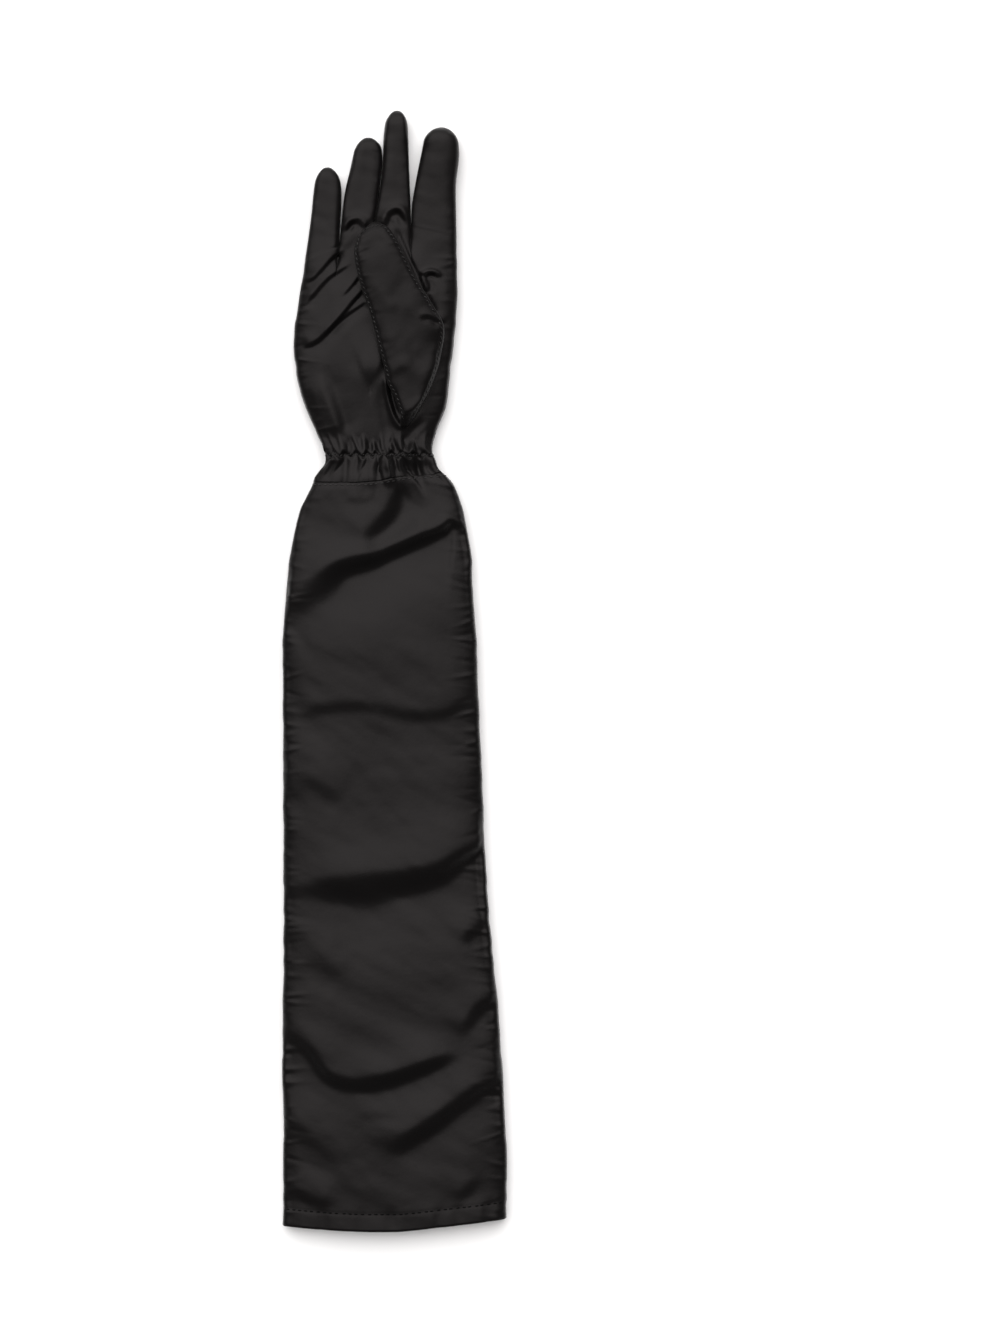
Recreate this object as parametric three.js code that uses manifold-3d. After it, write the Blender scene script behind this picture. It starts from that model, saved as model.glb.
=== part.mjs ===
// A long silk glove, lying flat on its back with the palm up and the thumb folded over the palm.
// Millimetres, +Z up, +Y towards the fingertips. The origin is on the surface, under the middle.
// Each piece of cloth is a thin closed wall of its own, cut and sewn as the real glove is:
// palm, back of the hand, three strips between the fingers, two thumb pieces, two sleeve
// pieces and the turned-up hem. Sewn edges face each other across a small gap.

import * as THREE from 'three';
import Module from 'manifold-3d';

// Driving sizes
const HAND_LENGTH = 197;
const SLEEVE_LENGTH = 403;
const PALM_LENGTH = 128.6;
const HAND_WIDTH = 86;
const MOUTH_WIDTH = 120;
const HAND_HEIGHT = 13;
const FINGER_HEIGHT = 10.4;
const SLEEVE_HEIGHT = 15;
const SEAM_HEIGHT = 4.8;
const THUMB_HEIGHT = 8.6;
const FOURCHETTE_WIDTH = 4.6;
const WALL = 1.3;
const SEAM_GAP = 0.3;
const REST_GAP = 0.45;
const HEM_DEPTH = 9;
const SEAM_SLANT = 2.7;
const MOUTH_SLANT = 6.4;
const FINGERTIP_ROUND = 9;
const GATHER_HEIGHT = 0.85;
const GATHER_REACH = 11;
const ELASTIC_LINE = 12;
const HEEL_LIFT = 1.2;
const HEEL_REACH = 24;

// How finely each piece is divided
const FINGER_COLUMNS = 6;
const BACK_FINGER_COLUMNS = 4;
const PALM_ROWS = [0, 0.07, 0.15, 0.23, 0.31, 0.39, 0.47, 0.55, 0.63, 0.7, 0.76, 0.815, 0.85, 0.88,
  0.905, 0.93, 0.965, 1];
const BACK_ROWS = [0, 0.12, 0.26, 0.42, 0.58, 0.72, 0.83, 0.91, 1];
const FINGER_ROWS = [0.12, 0.25, 0.4, 0.55, 0.7, 0.82, 0.9, 0.96, 1];
const SLEEVE_COLUMNS = 16;
const SLEEVE_ROWS = 60;
const SLEEVE_BACK_COLUMNS = 12;
const SLEEVE_BACK_ROWS = 18;
const THUMB_COLUMNS = 8;
const THUMB_ROWS = [0, 0.03, 0.08, 0.15, 0.24, 0.34, 0.44, 0.5, 0.56, 0.62, 0.69, 0.77, 0.85, 0.92, 1];
const THUMB_BACK_END = 0.92;

// Shares of a finger where its sewn-in strip's first station is and where the strip ends
const STRIP_FIRST = 0.2;
const STRIP_END = 0.94;

// Shape of a puffed section: 2 is an ellipse, more is flatter in the middle
const PILLOW_POWER = 2.4;
const FLOOR_POWER = 7;
// Powers that keep a wall's inner face away from its edges, in x and in height
const EDGE_INSET_POWER = 6;
const EDGE_SHELL_POWER = 24;

// Outline and height of the hand from the wrist seam up. up is a share of PALM_LENGTH,
// left and right of HAND_WIDTH from the middle line, height of HAND_HEIGHT.
const HAND_OUTLINE = [
  { up: -0.04, left: -0.515, right: 0.345, height: 1.0 },
  { up: 0.0, left: -0.505, right: 0.333, height: 0.96 },
  { up: 0.033, left: -0.468, right: 0.28, height: 0.88 },
  { up: 0.067, left: -0.432, right: 0.254, height: 0.82 },
  { up: 0.117, left: -0.441, right: 0.229, height: 0.8 },
  { up: 0.192, left: -0.492, right: 0.254, height: 0.86 },
  { up: 0.292, left: -0.554, right: 0.31, height: 0.94 },
  { up: 0.417, left: -0.61, right: 0.337, height: 1.0 },
  { up: 0.567, left: -0.629, right: 0.361, height: 1.0 },
  { up: 0.742, left: -0.604, right: 0.39, height: 1.0 },
  { up: 0.9, left: -0.564, right: 0.387, height: 0.94 },
  { up: 1.0, left: -0.545, right: 0.383, height: 0.9 },
  { up: 1.12, left: -0.53, right: 0.382, height: 0.86 },
];

// The line where the fingers leave the palm, through both sides and the three crotches
const KNUCKLES = [
  { across: -0.564, up: 0.9 },
  { across: -0.349, up: 0.958 },
  { across: -0.125, up: 1.083 },
  { across: 0.1, up: 1.046 },
  { across: 0.383, up: 1.0 },
];

// Each finger from its root to its tip. along is a share of the finger, left and right of
// HAND_WIDTH from the middle line, top is the tip's height above the seam as a share of HAND_LENGTH.
const FINGERS = [
  { name: 'pinky', top: 0.846, edges: [
    { along: 0, left: -0.564, right: -0.349 },
    { along: 0.25, left: -0.542, right: -0.346 },
    { along: 0.5, left: -0.523, right: -0.338 },
    { along: 0.75, left: -0.508, right: -0.337 },
    { along: 1, left: -0.486, right: -0.36 },
  ] },
  { name: 'ring', top: 0.927, edges: [
    { along: 0, left: -0.349, right: -0.125 },
    { along: 0.25, left: -0.333, right: -0.109 },
    { along: 0.5, left: -0.313, right: -0.094 },
    { along: 0.75, left: -0.274, right: -0.083 },
    { along: 1, left: -0.24, right: -0.099 },
  ] },
  { name: 'middle', top: 1, edges: [
    { along: 0, left: -0.125, right: 0.1 },
    { along: 0.25, left: -0.095, right: 0.094 },
    { along: 0.5, left: -0.075, right: 0.087 },
    { along: 0.75, left: -0.069, right: 0.082 },
    { along: 1, left: -0.05, right: 0.075 },
  ] },
  { name: 'index', top: 0.954, edges: [
    { along: 0, left: 0.1, right: 0.383 },
    { along: 0.25, left: 0.108, right: 0.38 },
    { along: 0.5, left: 0.134, right: 0.38 },
    { along: 0.75, left: 0.165, right: 0.399 },
    { along: 1, left: 0.193, right: 0.386 },
  ] },
];

// The joining seam across the wrist and the mouth's edge: across goes from 0 at the left side
// to 1 at the right, and up is a share of SEAM_SLANT or of MOUTH_SLANT.
const SEAM_LINE = [
  { across: 0, up: -0.85 },
  { across: 0.35, up: -1 },
  { across: 0.5, up: -0.65 },
  { across: 0.65, up: 0.1 },
  { across: 0.82, up: 0.55 },
  { across: 1, up: 0.9 },
];
const MOUTH_EDGE = [
  { across: 0, up: 0.4 },
  { across: 0.25, up: 0.1 },
  { across: 0.5, up: 0 },
  { across: 0.72, up: 0.4 },
  { across: 1, up: 1 },
];

// How far each side of the sleeve has widened from the wrist (0) to the mouth (1), and its
// height as a share of SLEEVE_HEIGHT. down is a share of SLEEVE_LENGTH from the wrist seam.
const SLEEVE_OUTLINE = [
  { down: 0, left: 0, right: 0, height: 0.84 },
  { down: 0.036, left: 0.386, right: 0.195, height: 0.86 },
  { down: 0.069, left: 0.614, right: 0.31, height: 0.9 },
  { down: 0.102, left: 0.75, right: 0.35, height: 0.94 },
  { down: 0.136, left: 0.868, right: 0.38, height: 0.97 },
  { down: 0.203, left: 0.965, right: 0.43, height: 1 },
  { down: 0.302, left: 0.99, right: 0.505, height: 0.98 },
  { down: 0.402, left: 0.975, right: 0.556, height: 0.96 },
  { down: 0.502, left: 0.955, right: 0.59, height: 0.96 },
  { down: 0.602, left: 0.965, right: 0.69, height: 1 },
  { down: 0.7, left: 0.985, right: 0.785, height: 1 },
  { down: 0.8, left: 0.985, right: 0.88, height: 0.97 },
  { down: 0.9, left: 0.975, right: 0.965, height: 0.93 },
  { down: 1, left: 1, right: 1, height: 0.88 },
];

// Folds of the sleeve. Ends are shares of MOUTH_WIDTH across and of SLEEVE_LENGTH down.
// bow is the sag of the line as a share of its length, width and height are in the
// fold sizes below, and hollow is the depth of the dip beside it as a share of its height.
const FOLD_WIDTH = 9;
const FOLD_HEIGHT = 3;
// Where the dip lies, in widths of the fold, and how far its ends fade inside and past the line
const DIP_AWAY = 1.4;
const FOLD_FADE_IN = 0.16;
const FOLD_FADE_OUT = 0.06;
const SLEEVE_FOLDS = [
  { x1: -0.02, y1: 0.012, x2: -0.2, y2: 0.095, bow: -0.08, width: 0.7, height: -0.5, hollow: -0.4 },
  { x1: 0.36, y1: 0.075, x2: -0.49, y2: 0.182, bow: -0.06, width: 0.9, height: 1.1, hollow: 0.8 },
  { x1: -0.5, y1: 0.308, x2: 0.38, y2: 0.29, bow: -0.01, width: 1, height: 0.45, hollow: 0.7 },
  { x1: -0.46, y1: 0.54, x2: 0.4, y2: 0.487, bow: 0.12, width: 0.9, height: 1, hollow: 0.9 },
  { x1: 0.24, y1: 0.616, x2: 0.42, y2: 0.586, bow: 0, width: 0.6, height: 0.4, hollow: 0.7 },
  { x1: -0.4, y1: 0.61, x2: -0.17, y2: 0.68, bow: 0, width: 0.8, height: 0.35, hollow: 0.6 },
  { x1: 0.45, y1: 0.69, x2: 0.3, y2: 0.765, bow: 0.12, width: 0.8, height: 0.6, hollow: 0.8 },
  { x1: 0.34, y1: 0.755, x2: -0.24, y2: 0.806, bow: 0.06, width: 0.9, height: 0.85, hollow: 0.8 },
  { x1: -0.2, y1: 0.808, x2: -0.49, y2: 0.73, bow: 0.1, width: 0.8, height: 0.6, hollow: 0.8 },
  { x1: 0.47, y1: 0.803, x2: -0.12, y2: 0.915, bow: 0.04, width: 0.9, height: 0.8, hollow: 0.8 },
  { x1: -0.48, y1: 0.85, x2: -0.18, y2: 0.92, bow: 0, width: 1, height: 0.45, hollow: 0.6 },
  { x1: 0.02, y1: 0.94, x2: 0.21, y2: 0.92, bow: 0, width: 0.6, height: 0.35, hollow: 0.6 },
];

// Folds of the palm. Ends are shares of HAND_WIDTH across and of PALM_LENGTH up.
const PALM_FOLDS = [
  { x1: -0.585, y1: 0.755, x2: -0.27, y2: 0.975, bow: 0.03, width: 0.45, height: 0.4, hollow: 0.8 },
  { x1: -0.59, y1: 0.555, x2: -0.215, y2: 0.75, bow: 0.04, width: 0.5, height: 0.4, hollow: 0.8 },
  { x1: -0.31, y1: 0.42, x2: -0.25, y2: 0.15, bow: 0, width: 0.5, height: -0.4, hollow: -0.5 },
  { x1: -0.21, y1: 0.38, x2: -0.2, y2: 0.14, bow: 0, width: 0.45, height: -0.35, hollow: -0.5 },
  { x1: 0.16, y1: 0.84, x2: 0.27, y2: 0.74, bow: 0, width: 0.4, height: 0.3, hollow: 0.6 },
];

// The thumb's outline from its tip to its root. x is a share of HAND_WIDTH from the middle
// line and y of PALM_LENGTH up from the wrist seam. hole is the x of the sewn-in slit's left side.
const THUMB_OUTLINE = [
  { along: 0, leftX: -0.178, leftY: 1.035, rightX: -0.078, rightY: 1.05, hole: -0.078 },
  { along: 0.06, leftX: -0.23, leftY: 0.99, rightX: -0.034, rightY: 1.03, hole: -0.034 },
  { along: 0.15, leftX: -0.249, leftY: 0.921, rightX: 0.025, rightY: 0.971, hole: 0.025 },
  { along: 0.3, leftX: -0.212, leftY: 0.8, rightX: 0.112, rightY: 0.85, hole: 0.112 },
  { along: 0.45, leftX: -0.149, leftY: 0.675, rightX: 0.222, rightY: 0.728, hole: 0.222 },
  { along: 0.56, leftX: -0.106, leftY: 0.5625, rightX: 0.303, rightY: 0.63, hole: 0.29 },
  { along: 0.7, leftX: -0.062, leftY: 0.45, rightX: 0.287, rightY: 0.508, hole: 0.112 },
  { along: 0.83, leftX: -0.031, leftY: 0.346, rightX: 0.23, rightY: 0.379, hole: 0.062 },
  { along: 0.94, leftX: 0.012, leftY: 0.258, rightX: 0.137, rightY: 0.262, hole: 0.06 },
  { along: 1, leftX: 0.037, leftY: 0.208, rightX: 0.078, rightY: 0.208, hole: 0.062 },
];
const THUMB_SEWN_FROM = 0.56;
const THUMB_SEWN_FULLY = 0.66;
const THUMB_SEWN_LEAD = 0.07;
// Level of the thumb's edge seam as a share of its height, where its tip has rounded out as a
// share of its length, the tip's wall as a share of WALL, and the widest edge wall as a share
// of the thumb's width
const THUMB_SEAM_SHARE = 0.42;
const THUMB_TIP_ROUND = 0.16;
const THUMB_TIP_WALL = 0.3;
const THUMB_EDGE_SHARE = 0.12;
// The palm lies smooth under the thumb: fully within the first share of HAND_WIDTH from the
// thumb's middle line, not at all past the second. The line's lower end is shifted to the right.
const SMOOTH_WITHIN = 0.26;
const SMOOTH_UNTIL = 0.34;
const SMOOTH_SHIFT = 0.035;
const HOLE_START = 0.62;
const HOLE_END = 0.93;
const HOLE_MARGIN = 1.8;
const HOLE_STEPS = 8;

const totalLength = HAND_LENGTH + SLEEVE_LENGTH;
const seamY = totalLength / 2 - HAND_LENGTH;

const mix = (start, end, share) => start + (end - start) * share;
const clamp = (value) => Math.min(1, Math.max(0, value));

function smoothStep(low, high, value) {
  const share = clamp((value - low) / (high - low));
  return share * share * (3 - 2 * share);
}

// Value of one column of a table at a place, along a smooth curve through the rows.
function readTable(rows, key, column, place) {
  const last = rows.length - 1;
  const held = Math.min(rows[last][key], Math.max(rows[0][key], place));
  let row = 0;
  while (row < last - 1 && rows[row + 1][key] < held) {
    row += 1;
  }
  const slopeAt = (index) => {
    const before = rows[Math.max(0, index - 1)];
    const after = rows[Math.min(last, index + 1)];
    return (after[column] - before[column]) / (after[key] - before[key]);
  };
  const span = rows[row + 1][key] - rows[row][key];
  const share = (held - rows[row][key]) / span;
  const rise = share * share * (3 - 2 * share);
  const startTurn = share * (1 - share) * (1 - share) * span * slopeAt(row);
  const endTurn = share * share * (1 - share) * span * slopeAt(row + 1);
  return mix(rows[row][column], rows[row + 1][column], rise) + startTurn - endTurn;
}

// Height of a puffed section across its width, 0 at both sides and 1 in the middle.
function pillow(across, power = PILLOW_POWER) {
  const side = Math.min(1, Math.abs(2 * across - 1));
  return Math.pow(1 - Math.pow(side, power), 1 / power);
}

// Places of the columns across a piece, closer together towards its sides.
function columnPlaces(count, crowding) {
  return Array.from({ length: count + 1 }, (_, index) => {
    const even = index / count;
    const round = (1 - Math.cos(Math.PI * even)) / 2;
    return mix(even, round, crowding);
  });
}

// Height that a table of folds adds at a point: a rounded ridge with a dip beside it.
function foldHeight(folds, across, along, x, y) {
  let total = 0;
  for (const fold of folds) {
    const startX = fold.x1 * across;
    const startY = fold.y1 * along;
    const runX = fold.x2 * across - startX;
    const runY = fold.y2 * along - startY;
    const length = Math.hypot(runX, runY);
    const share = ((x - startX) * runX + (y - startY) * runY) / (length * length);
    const bowed = 4 * fold.bow * length * clamp(share) * (1 - clamp(share));
    const beside = ((x - startX) * runY - (y - startY) * runX) / length - bowed;
    const width = fold.width * FOLD_WIDTH;
    const fadeIn = smoothStep(-FOLD_FADE_OUT, FOLD_FADE_IN, share);
    const fadeOut = 1 - smoothStep(1 - FOLD_FADE_IN, 1 + FOLD_FADE_OUT, share);
    const ridge = Math.exp(-Math.pow(beside / width, 2));
    const dip = Math.exp(-Math.pow(beside / width + DIP_AWAY, 2));
    const height = fadeIn * fadeOut * fold.height * FOLD_HEIGHT;
    total += height * (ridge - Math.abs(fold.hollow) * dip);
  }
  return total;
}

// A closed wall from an outer and an inner sheet with the same points, with its rims joined.
function closeWall(outer, inner, faces) {
  const count = outer.length;
  const triangles = [];
  const edges = new Set();
  for (const [a, b, c, d] of faces) {
    triangles.push(a, b, c, a, c, d);
    triangles.push(count + a, count + c, count + b, count + a, count + d, count + c);
    for (const [from, to] of [[a, b], [b, c], [c, d], [d, a]]) {
      edges.add(`${from},${to}`);
    }
  }
  for (const edge of edges) {
    const [from, to] = edge.split(',').map(Number);
    if (!edges.has(`${to},${from}`)) {
      triangles.push(to, from, count + from, to, count + from, count + to);
    }
  }
  const geometry = new THREE.BufferGeometry();
  const points = outer.concat(inner).flat();
  geometry.setAttribute('position', new THREE.Float32BufferAttribute(points, 3));
  geometry.setIndex(triangles);
  return geometry;
}

// Faces of a grid with rows of points, turned over when the sheet faces down.
function gridFaces(rowCount, columnCount, faceDown, start = 0) {
  const faces = [];
  for (let row = 0; row < rowCount; row += 1) {
    for (let column = 0; column < columnCount; column += 1) {
      const corner = start + row * (columnCount + 1) + column;
      const above = corner + columnCount + 1;
      const face = [corner, corner + 1, above + 1, above];
      faces.push(faceDown ? face.reverse() : face);
    }
  }
  return faces;
}

const handSide = (side, up) => HAND_WIDTH * readTable(HAND_OUTLINE, 'up', side, up);
const handHeight = (up) => HAND_HEIGHT * readTable(HAND_OUTLINE, 'up', 'height', up);
const seamRise = (across) => SEAM_SLANT * readTable(SEAM_LINE, 'across', 'up', clamp(across));

// How far the mouth's edge rises from its lowest point, in the middle, to a place across it.
function mouthRise(across) {
  return MOUTH_SLANT * Math.max(0, readTable(MOUTH_EDGE, 'across', 'up', clamp(across)));
}

// Point where a finger's edge is, at a share of the finger's length.
function fingerEdge(index, side, along) {
  const finger = FINGERS[index];
  const root = KNUCKLES[side === 'left' ? index : index + 1];
  const rootY = seamY + root.up * PALM_LENGTH;
  const topY = seamY + finger.top * HAND_LENGTH;
  const x = HAND_WIDTH * readTable(finger.edges, 'along', side, along);
  return { x, y: mix(rootY, topY, along) };
}

function fingerLength(index) {
  const root = Math.min(KNUCKLES[index].up, KNUCKLES[index + 1].up) * PALM_LENGTH;
  return FINGERS[index].top * HAND_LENGTH - root;
}

// How much of its width and height a finger keeps near its rounded tip.
function tipShare(index, along) {
  const start = 1 - FINGERTIP_ROUND / fingerLength(index);
  const past = clamp((along - start) / (1 - start));
  return Math.sqrt(1 - 0.96 * past * past);
}

// Height of the strip sewn in between two fingers, running out to a point near the tips.
function stripWidth(along) {
  return FOURCHETTE_WIDTH * Math.sqrt(clamp((STRIP_END - along) / STRIP_END));
}

// Level of a finger panel's edge: at the side seam, or above or below the sewn-in strip.
function edgeLevel(index, side, along, up) {
  const outside = (index === 0 && side === 'left') || (index === FINGERS.length - 1 && side === 'right');
  const strip = outside ? 0 : stripWidth(along) / 2;
  return SEAM_HEIGHT + (up ? 1 : -1) * (strip + SEAM_GAP / 2);
}

// The gathers that the elastic draws up across the wrist, one up and one down.
function gatherHeight(column, y) {
  const reach = Math.abs(y - seamY - ELASTIC_LINE) / GATHER_REACH;
  const sign = column % 2 === 0 ? 1 : -1;
  return sign * GATHER_HEIGHT * Math.exp(-reach * reach);
}

// How far the back of the glove lifts off the surface at the narrow wrist.
function heelLift(y) {
  const reach = (y - seamY - ELASTIC_LINE) / HEEL_REACH;
  return HEEL_LIFT * Math.exp(-reach * reach);
}

// 1 where the thumb lies over the palm, fading to 0 around it.
function underThumb(x, y) {
  const top = THUMB_OUTLINE[0];
  const root = THUMB_OUTLINE[THUMB_OUTLINE.length - 1];
  const startX = HAND_WIDTH * (top.leftX + top.rightX) / 2;
  const startY = seamY + PALM_LENGTH * top.leftY;
  const runX = HAND_WIDTH * ((root.leftX + root.rightX) / 2 + SMOOTH_SHIFT) - startX;
  const runY = seamY + PALM_LENGTH * root.leftY - startY;
  const share = clamp(((x - startX) * runX + (y - startY) * runY) / (runX * runX + runY * runY));
  const away = Math.hypot(x - startX - share * runX, y - startY - share * runY);
  return 1 - smoothStep(SMOOTH_WITHIN * HAND_WIDTH, SMOOTH_UNTIL * HAND_WIDTH, away);
}

// Level of the palm's smooth outer surface, without its folds, gathers and finger valleys.
function palmLevel(x, y) {
  const up = (y - seamY) / PALM_LENGTH;
  const left = handSide('left', up);
  const right = handSide('right', up);
  const low = SEAM_HEIGHT + SEAM_GAP / 2;
  return low + (handHeight(up) - low) * pillow((x - left) / (right - left));
}

// One side of the hand, palm or back: the palm's grid, and a strip for each finger above it.
function handSheet(isPalm) {
  const perFinger = isPalm ? FINGER_COLUMNS : BACK_FINGER_COLUMNS;
  const places = columnPlaces(perFinger, 1);
  const columns = perFinger * FINGERS.length;
  const rows = isPalm ? PALM_ROWS : BACK_ROWS;
  const direction = isPalm ? 1 : -1;
  const outer = [];
  const inner = [];

  const knuckleAt = (column) => {
    const finger = Math.min(FINGERS.length - 1, Math.floor(column / perFinger));
    const share = places[column - finger * perFinger];
    const left = KNUCKLES[finger];
    const right = KNUCKLES[finger + 1];
    return { finger, share, across: mix(left.across, right.across, share), up: mix(left.up, right.up, share) };
  };

  // Level of the sheet at a share across one finger.
  const fingerLevel = (finger, share, along, height) => {
    const leftEdge = edgeLevel(finger, 'left', along, isPalm);
    const rightEdge = edgeLevel(finger, 'right', along, isPalm);
    const edge = mix(leftEdge, rightEdge, share);
    const keep = tipShare(finger, along);
    const puff = pillow(share, isPalm ? PILLOW_POWER : FLOOR_POWER) * keep;
    return isPalm ? edge + (height - edge) * puff : edge * (1 - puff);
  };

  rows.forEach((down) => {
    for (let column = 0; column <= columns; column += 1) {
      const root = knuckleAt(column);
      const rootY = seamY + root.up * PALM_LENGTH;
      const rootLeft = handSide('left', root.up);
      const rootRight = handSide('right', root.up);
      const rootAcross = (root.across * HAND_WIDTH - rootLeft) / (rootRight - rootLeft);
      const across = mix(rootAcross, column / columns, smoothStep(0, 0.7, down));
      const seamEdge = seamY + seamRise(across) + SEAM_GAP / 2;
      const y = mix(rootY, seamEdge, down);
      const up = (y - seamY) / PALM_LENGTH;
      const left = handSide('left', up);
      const right = handSide('right', up);
      const x = mix(left, right, across);
      const edgeFade = smoothStep(0, 0.1, across) * (1 - smoothStep(0.9, 1, across));
      const fingerPart = 1 - smoothStep(0, 0.32, down);
      const rootHeight = mix(handHeight(up), FINGER_HEIGHT, 0.5);
      const atFingers = fingerLevel(root.finger, root.share, 0, rootHeight);
      const crotch = column % perFinger === 0 && column > 0 && column < columns;
      let level;
      if (isPalm) {
        const folds = foldHeight(PALM_FOLDS, HAND_WIDTH, PALM_LENGTH, x, y - seamY);
        const relief = (folds + gatherHeight(column, y)) * edgeFade * (1 - underThumb(x, y));
        level = mix(palmLevel(x, y) + relief * (1 - fingerPart), atFingers + (crotch ? WALL : 0), fingerPart);
      } else {
        const low = (SEAM_HEIGHT - SEAM_GAP / 2) * (1 - pillow(across, FLOOR_POWER));
        const whole = Math.max(low, heelLift(y));
        level = mix(whole, atFingers - (crotch ? WALL : 0), fingerPart);
      }
      const innerX = x + WALL * (1 - 2 * across) * Math.pow(Math.abs(1 - 2 * across), EDGE_INSET_POWER);
      const shift = down === 0 && crotch ? WALL : 0;
      const shell = WALL * (1 - Math.pow(Math.abs(1 - 2 * across), EDGE_SHELL_POWER));
      outer.push([x, y, level]);
      inner.push([innerX, y - shift, level - direction * shell]);
    }
  });

  const faces = [];
  gridFaces(rows.length - 1, columns, isPalm).forEach((face) => faces.push(face));

  FINGERS.forEach((finger, index) => {
    let below = places.map((_, column) => index * perFinger + column);
    FINGER_ROWS.forEach((along) => {
      const leftEdge = fingerEdge(index, 'left', along);
      const rightEdge = fingerEdge(index, 'right', along);
      const keep = tipShare(index, along);
      const middle = (leftEdge.x + rightEdge.x) / 2;
      const half = (rightEdge.x - leftEdge.x) / 2 * keep;
      const height = mix(mix(handHeight(1), FINGER_HEIGHT, 0.5), FINGER_HEIGHT, smoothStep(0, 0.3, along));
      const start = outer.length;
      places.forEach((share) => {
        const side = 2 * share - 1;
        const y = mix(leftEdge.y, rightEdge.y, share);
        const level = fingerLevel(index, share, along, height);
        const inside = Math.max(half - WALL, 0.35 * half);
        const shell = WALL * (1 - Math.pow(Math.abs(side), 12)) * Math.min(1, keep + 0.15);
        const backOff = along === 1 ? WALL : 0;
        outer.push([middle + side * half, y, level]);
        inner.push([middle + side * inside, y - backOff, level - direction * shell]);
      });
      const here = places.map((_, column) => start + column);
      for (let column = 0; column < perFinger; column += 1) {
        const face = [below[column], below[column + 1], here[column + 1], here[column]];
        faces.push(isPalm ? face : face.reverse());
      }
      below = here;
    });
  });
  return closeWall(outer, inner, faces);
}

// The strip between two fingers: down one finger's side, round the crotch and up the next.
function fourchetteSheet(index) {
  const upper = [];
  const stations = FINGER_ROWS.filter((along) => along > STRIP_FIRST && along < STRIP_END);
  const crotch = KNUCKLES[index + 1];
  const sides = [
    { finger: index, side: 'right', inward: -1, order: stations.slice().reverse() },
    { finger: index + 1, side: 'left', inward: 1, order: stations },
  ];
  sides.forEach(({ finger, side, inward, order }, part) => {
    order.forEach((along) => {
      const edge = fingerEdge(finger, side, along);
      const other = fingerEdge(finger, side === 'left' ? 'right' : 'left', along);
      const lost = Math.abs(edge.x - other.x) / 2 * (1 - tipShare(finger, along));
      upper.push({ x: edge.x + inward * lost, y: edge.y, inX: inward * WALL, inY: 0, along });
    });
    if (part === 0) {
      const y = seamY + crotch.up * PALM_LENGTH;
      upper.push({ x: crotch.across * HAND_WIDTH, y, inX: 0, inY: -1.5 * WALL, along: 0 });
    }
  });
  const outer = [];
  const inner = [];
  [-1, 1].forEach((direction) => {
    upper.forEach((point) => {
      const half = stripWidth(point.along) / 2 - SEAM_GAP / 2;
      const level = SEAM_HEIGHT + direction * half;
      outer.push([point.x, point.y, level]);
      inner.push([point.x + point.inX, point.y + point.inY, level]);
    });
  });
  return closeWall(outer, inner, gridFaces(1, upper.length - 1, true));
}

function thumbEdge(side, along) {
  const x = HAND_WIDTH * readTable(THUMB_OUTLINE, 'along', `${side}X`, along);
  const y = seamY + PALM_LENGTH * readTable(THUMB_OUTLINE, 'along', `${side}Y`, along);
  return { x, y };
}

const holeSide = (along) => HAND_WIDTH * readTable(THUMB_OUTLINE, 'along', 'hole', along);

// The thumb's upper cloth or the cloth under it, both following the palm that they lie on.
function thumbSheet(isFront) {
  const places = columnPlaces(THUMB_COLUMNS, 0.6);
  const outer = [];
  const inner = [];
  const rows = isFront ? THUMB_ROWS : THUMB_ROWS.filter((along) => along <= THUMB_BACK_END);
  const middle = THUMB_HEIGHT * THUMB_SEAM_SHARE;
  rows.forEach((along) => {
    const leftEdge = thumbEdge('left', along);
    const rightEdge = thumbEdge('right', along);
    const lead = isFront ? 0 : THUMB_SEWN_LEAD;
    const sewn = smoothStep(THUMB_SEWN_FROM - lead, THUMB_SEWN_FULLY - lead, along);
    const rightX = isFront ? rightEdge.x : mix(rightEdge.x, holeSide(along), sewn);
    const closing = smoothStep(0.9, 1, along);
    const tip = mix(0.15, 1, Math.sqrt(clamp(along / THUMB_TIP_ROUND)));
    const thin = Math.max(tip, THUMB_TIP_WALL);
    const edgeWall = Math.min(WALL, THUMB_EDGE_SHARE * (rightX - leftEdge.x));
    const direction = isFront ? 1 : -1;
    places.forEach((share) => {
      const side = 2 * share - 1;
      const x = mix(leftEdge.x, rightX, share);
      const y = mix(leftEdge.y, rightEdge.y, share);
      const base = palmLevel(x, y) + REST_GAP;
      const low = isFront ? WALL : 0;
      const leftLevel = mix(middle, low, closing);
      const rightLevel = mix(middle, low, isFront ? sewn : Math.max(sewn, closing));
      const edge = mix(leftLevel, rightLevel, share);
      const puff = pillow(share, isFront ? PILLOW_POWER : FLOOR_POWER);
      const ends = Math.min(tip, Math.sqrt(1 - 0.9 * closing));
      const level = isFront
        ? edge + SEAM_GAP / 2 * (1 - sewn) + (THUMB_HEIGHT - edge) * puff * ends
        : Math.max(0, (edge - SEAM_GAP / 2) * (1 - puff * tip));
      const squeeze = Math.pow(Math.abs(side), 8) * (side > 0 ? 1 - sewn : 1);
      const shell = WALL * thin * (1 - squeeze);
      const backOff = along === 0 ? WALL : 0;
      const inset = edgeWall * thin * squeeze * Math.sign(side);
      outer.push([x, y, base + level]);
      inner.push([x - inset, y - backOff, base + level - direction * shell]);
    });
  });
  const faces = gridFaces(rows.length - 1, THUMB_COLUMNS, !isFront);
  return closeWall(outer, inner, faces.map((face) => face.reverse()));
}

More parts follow.
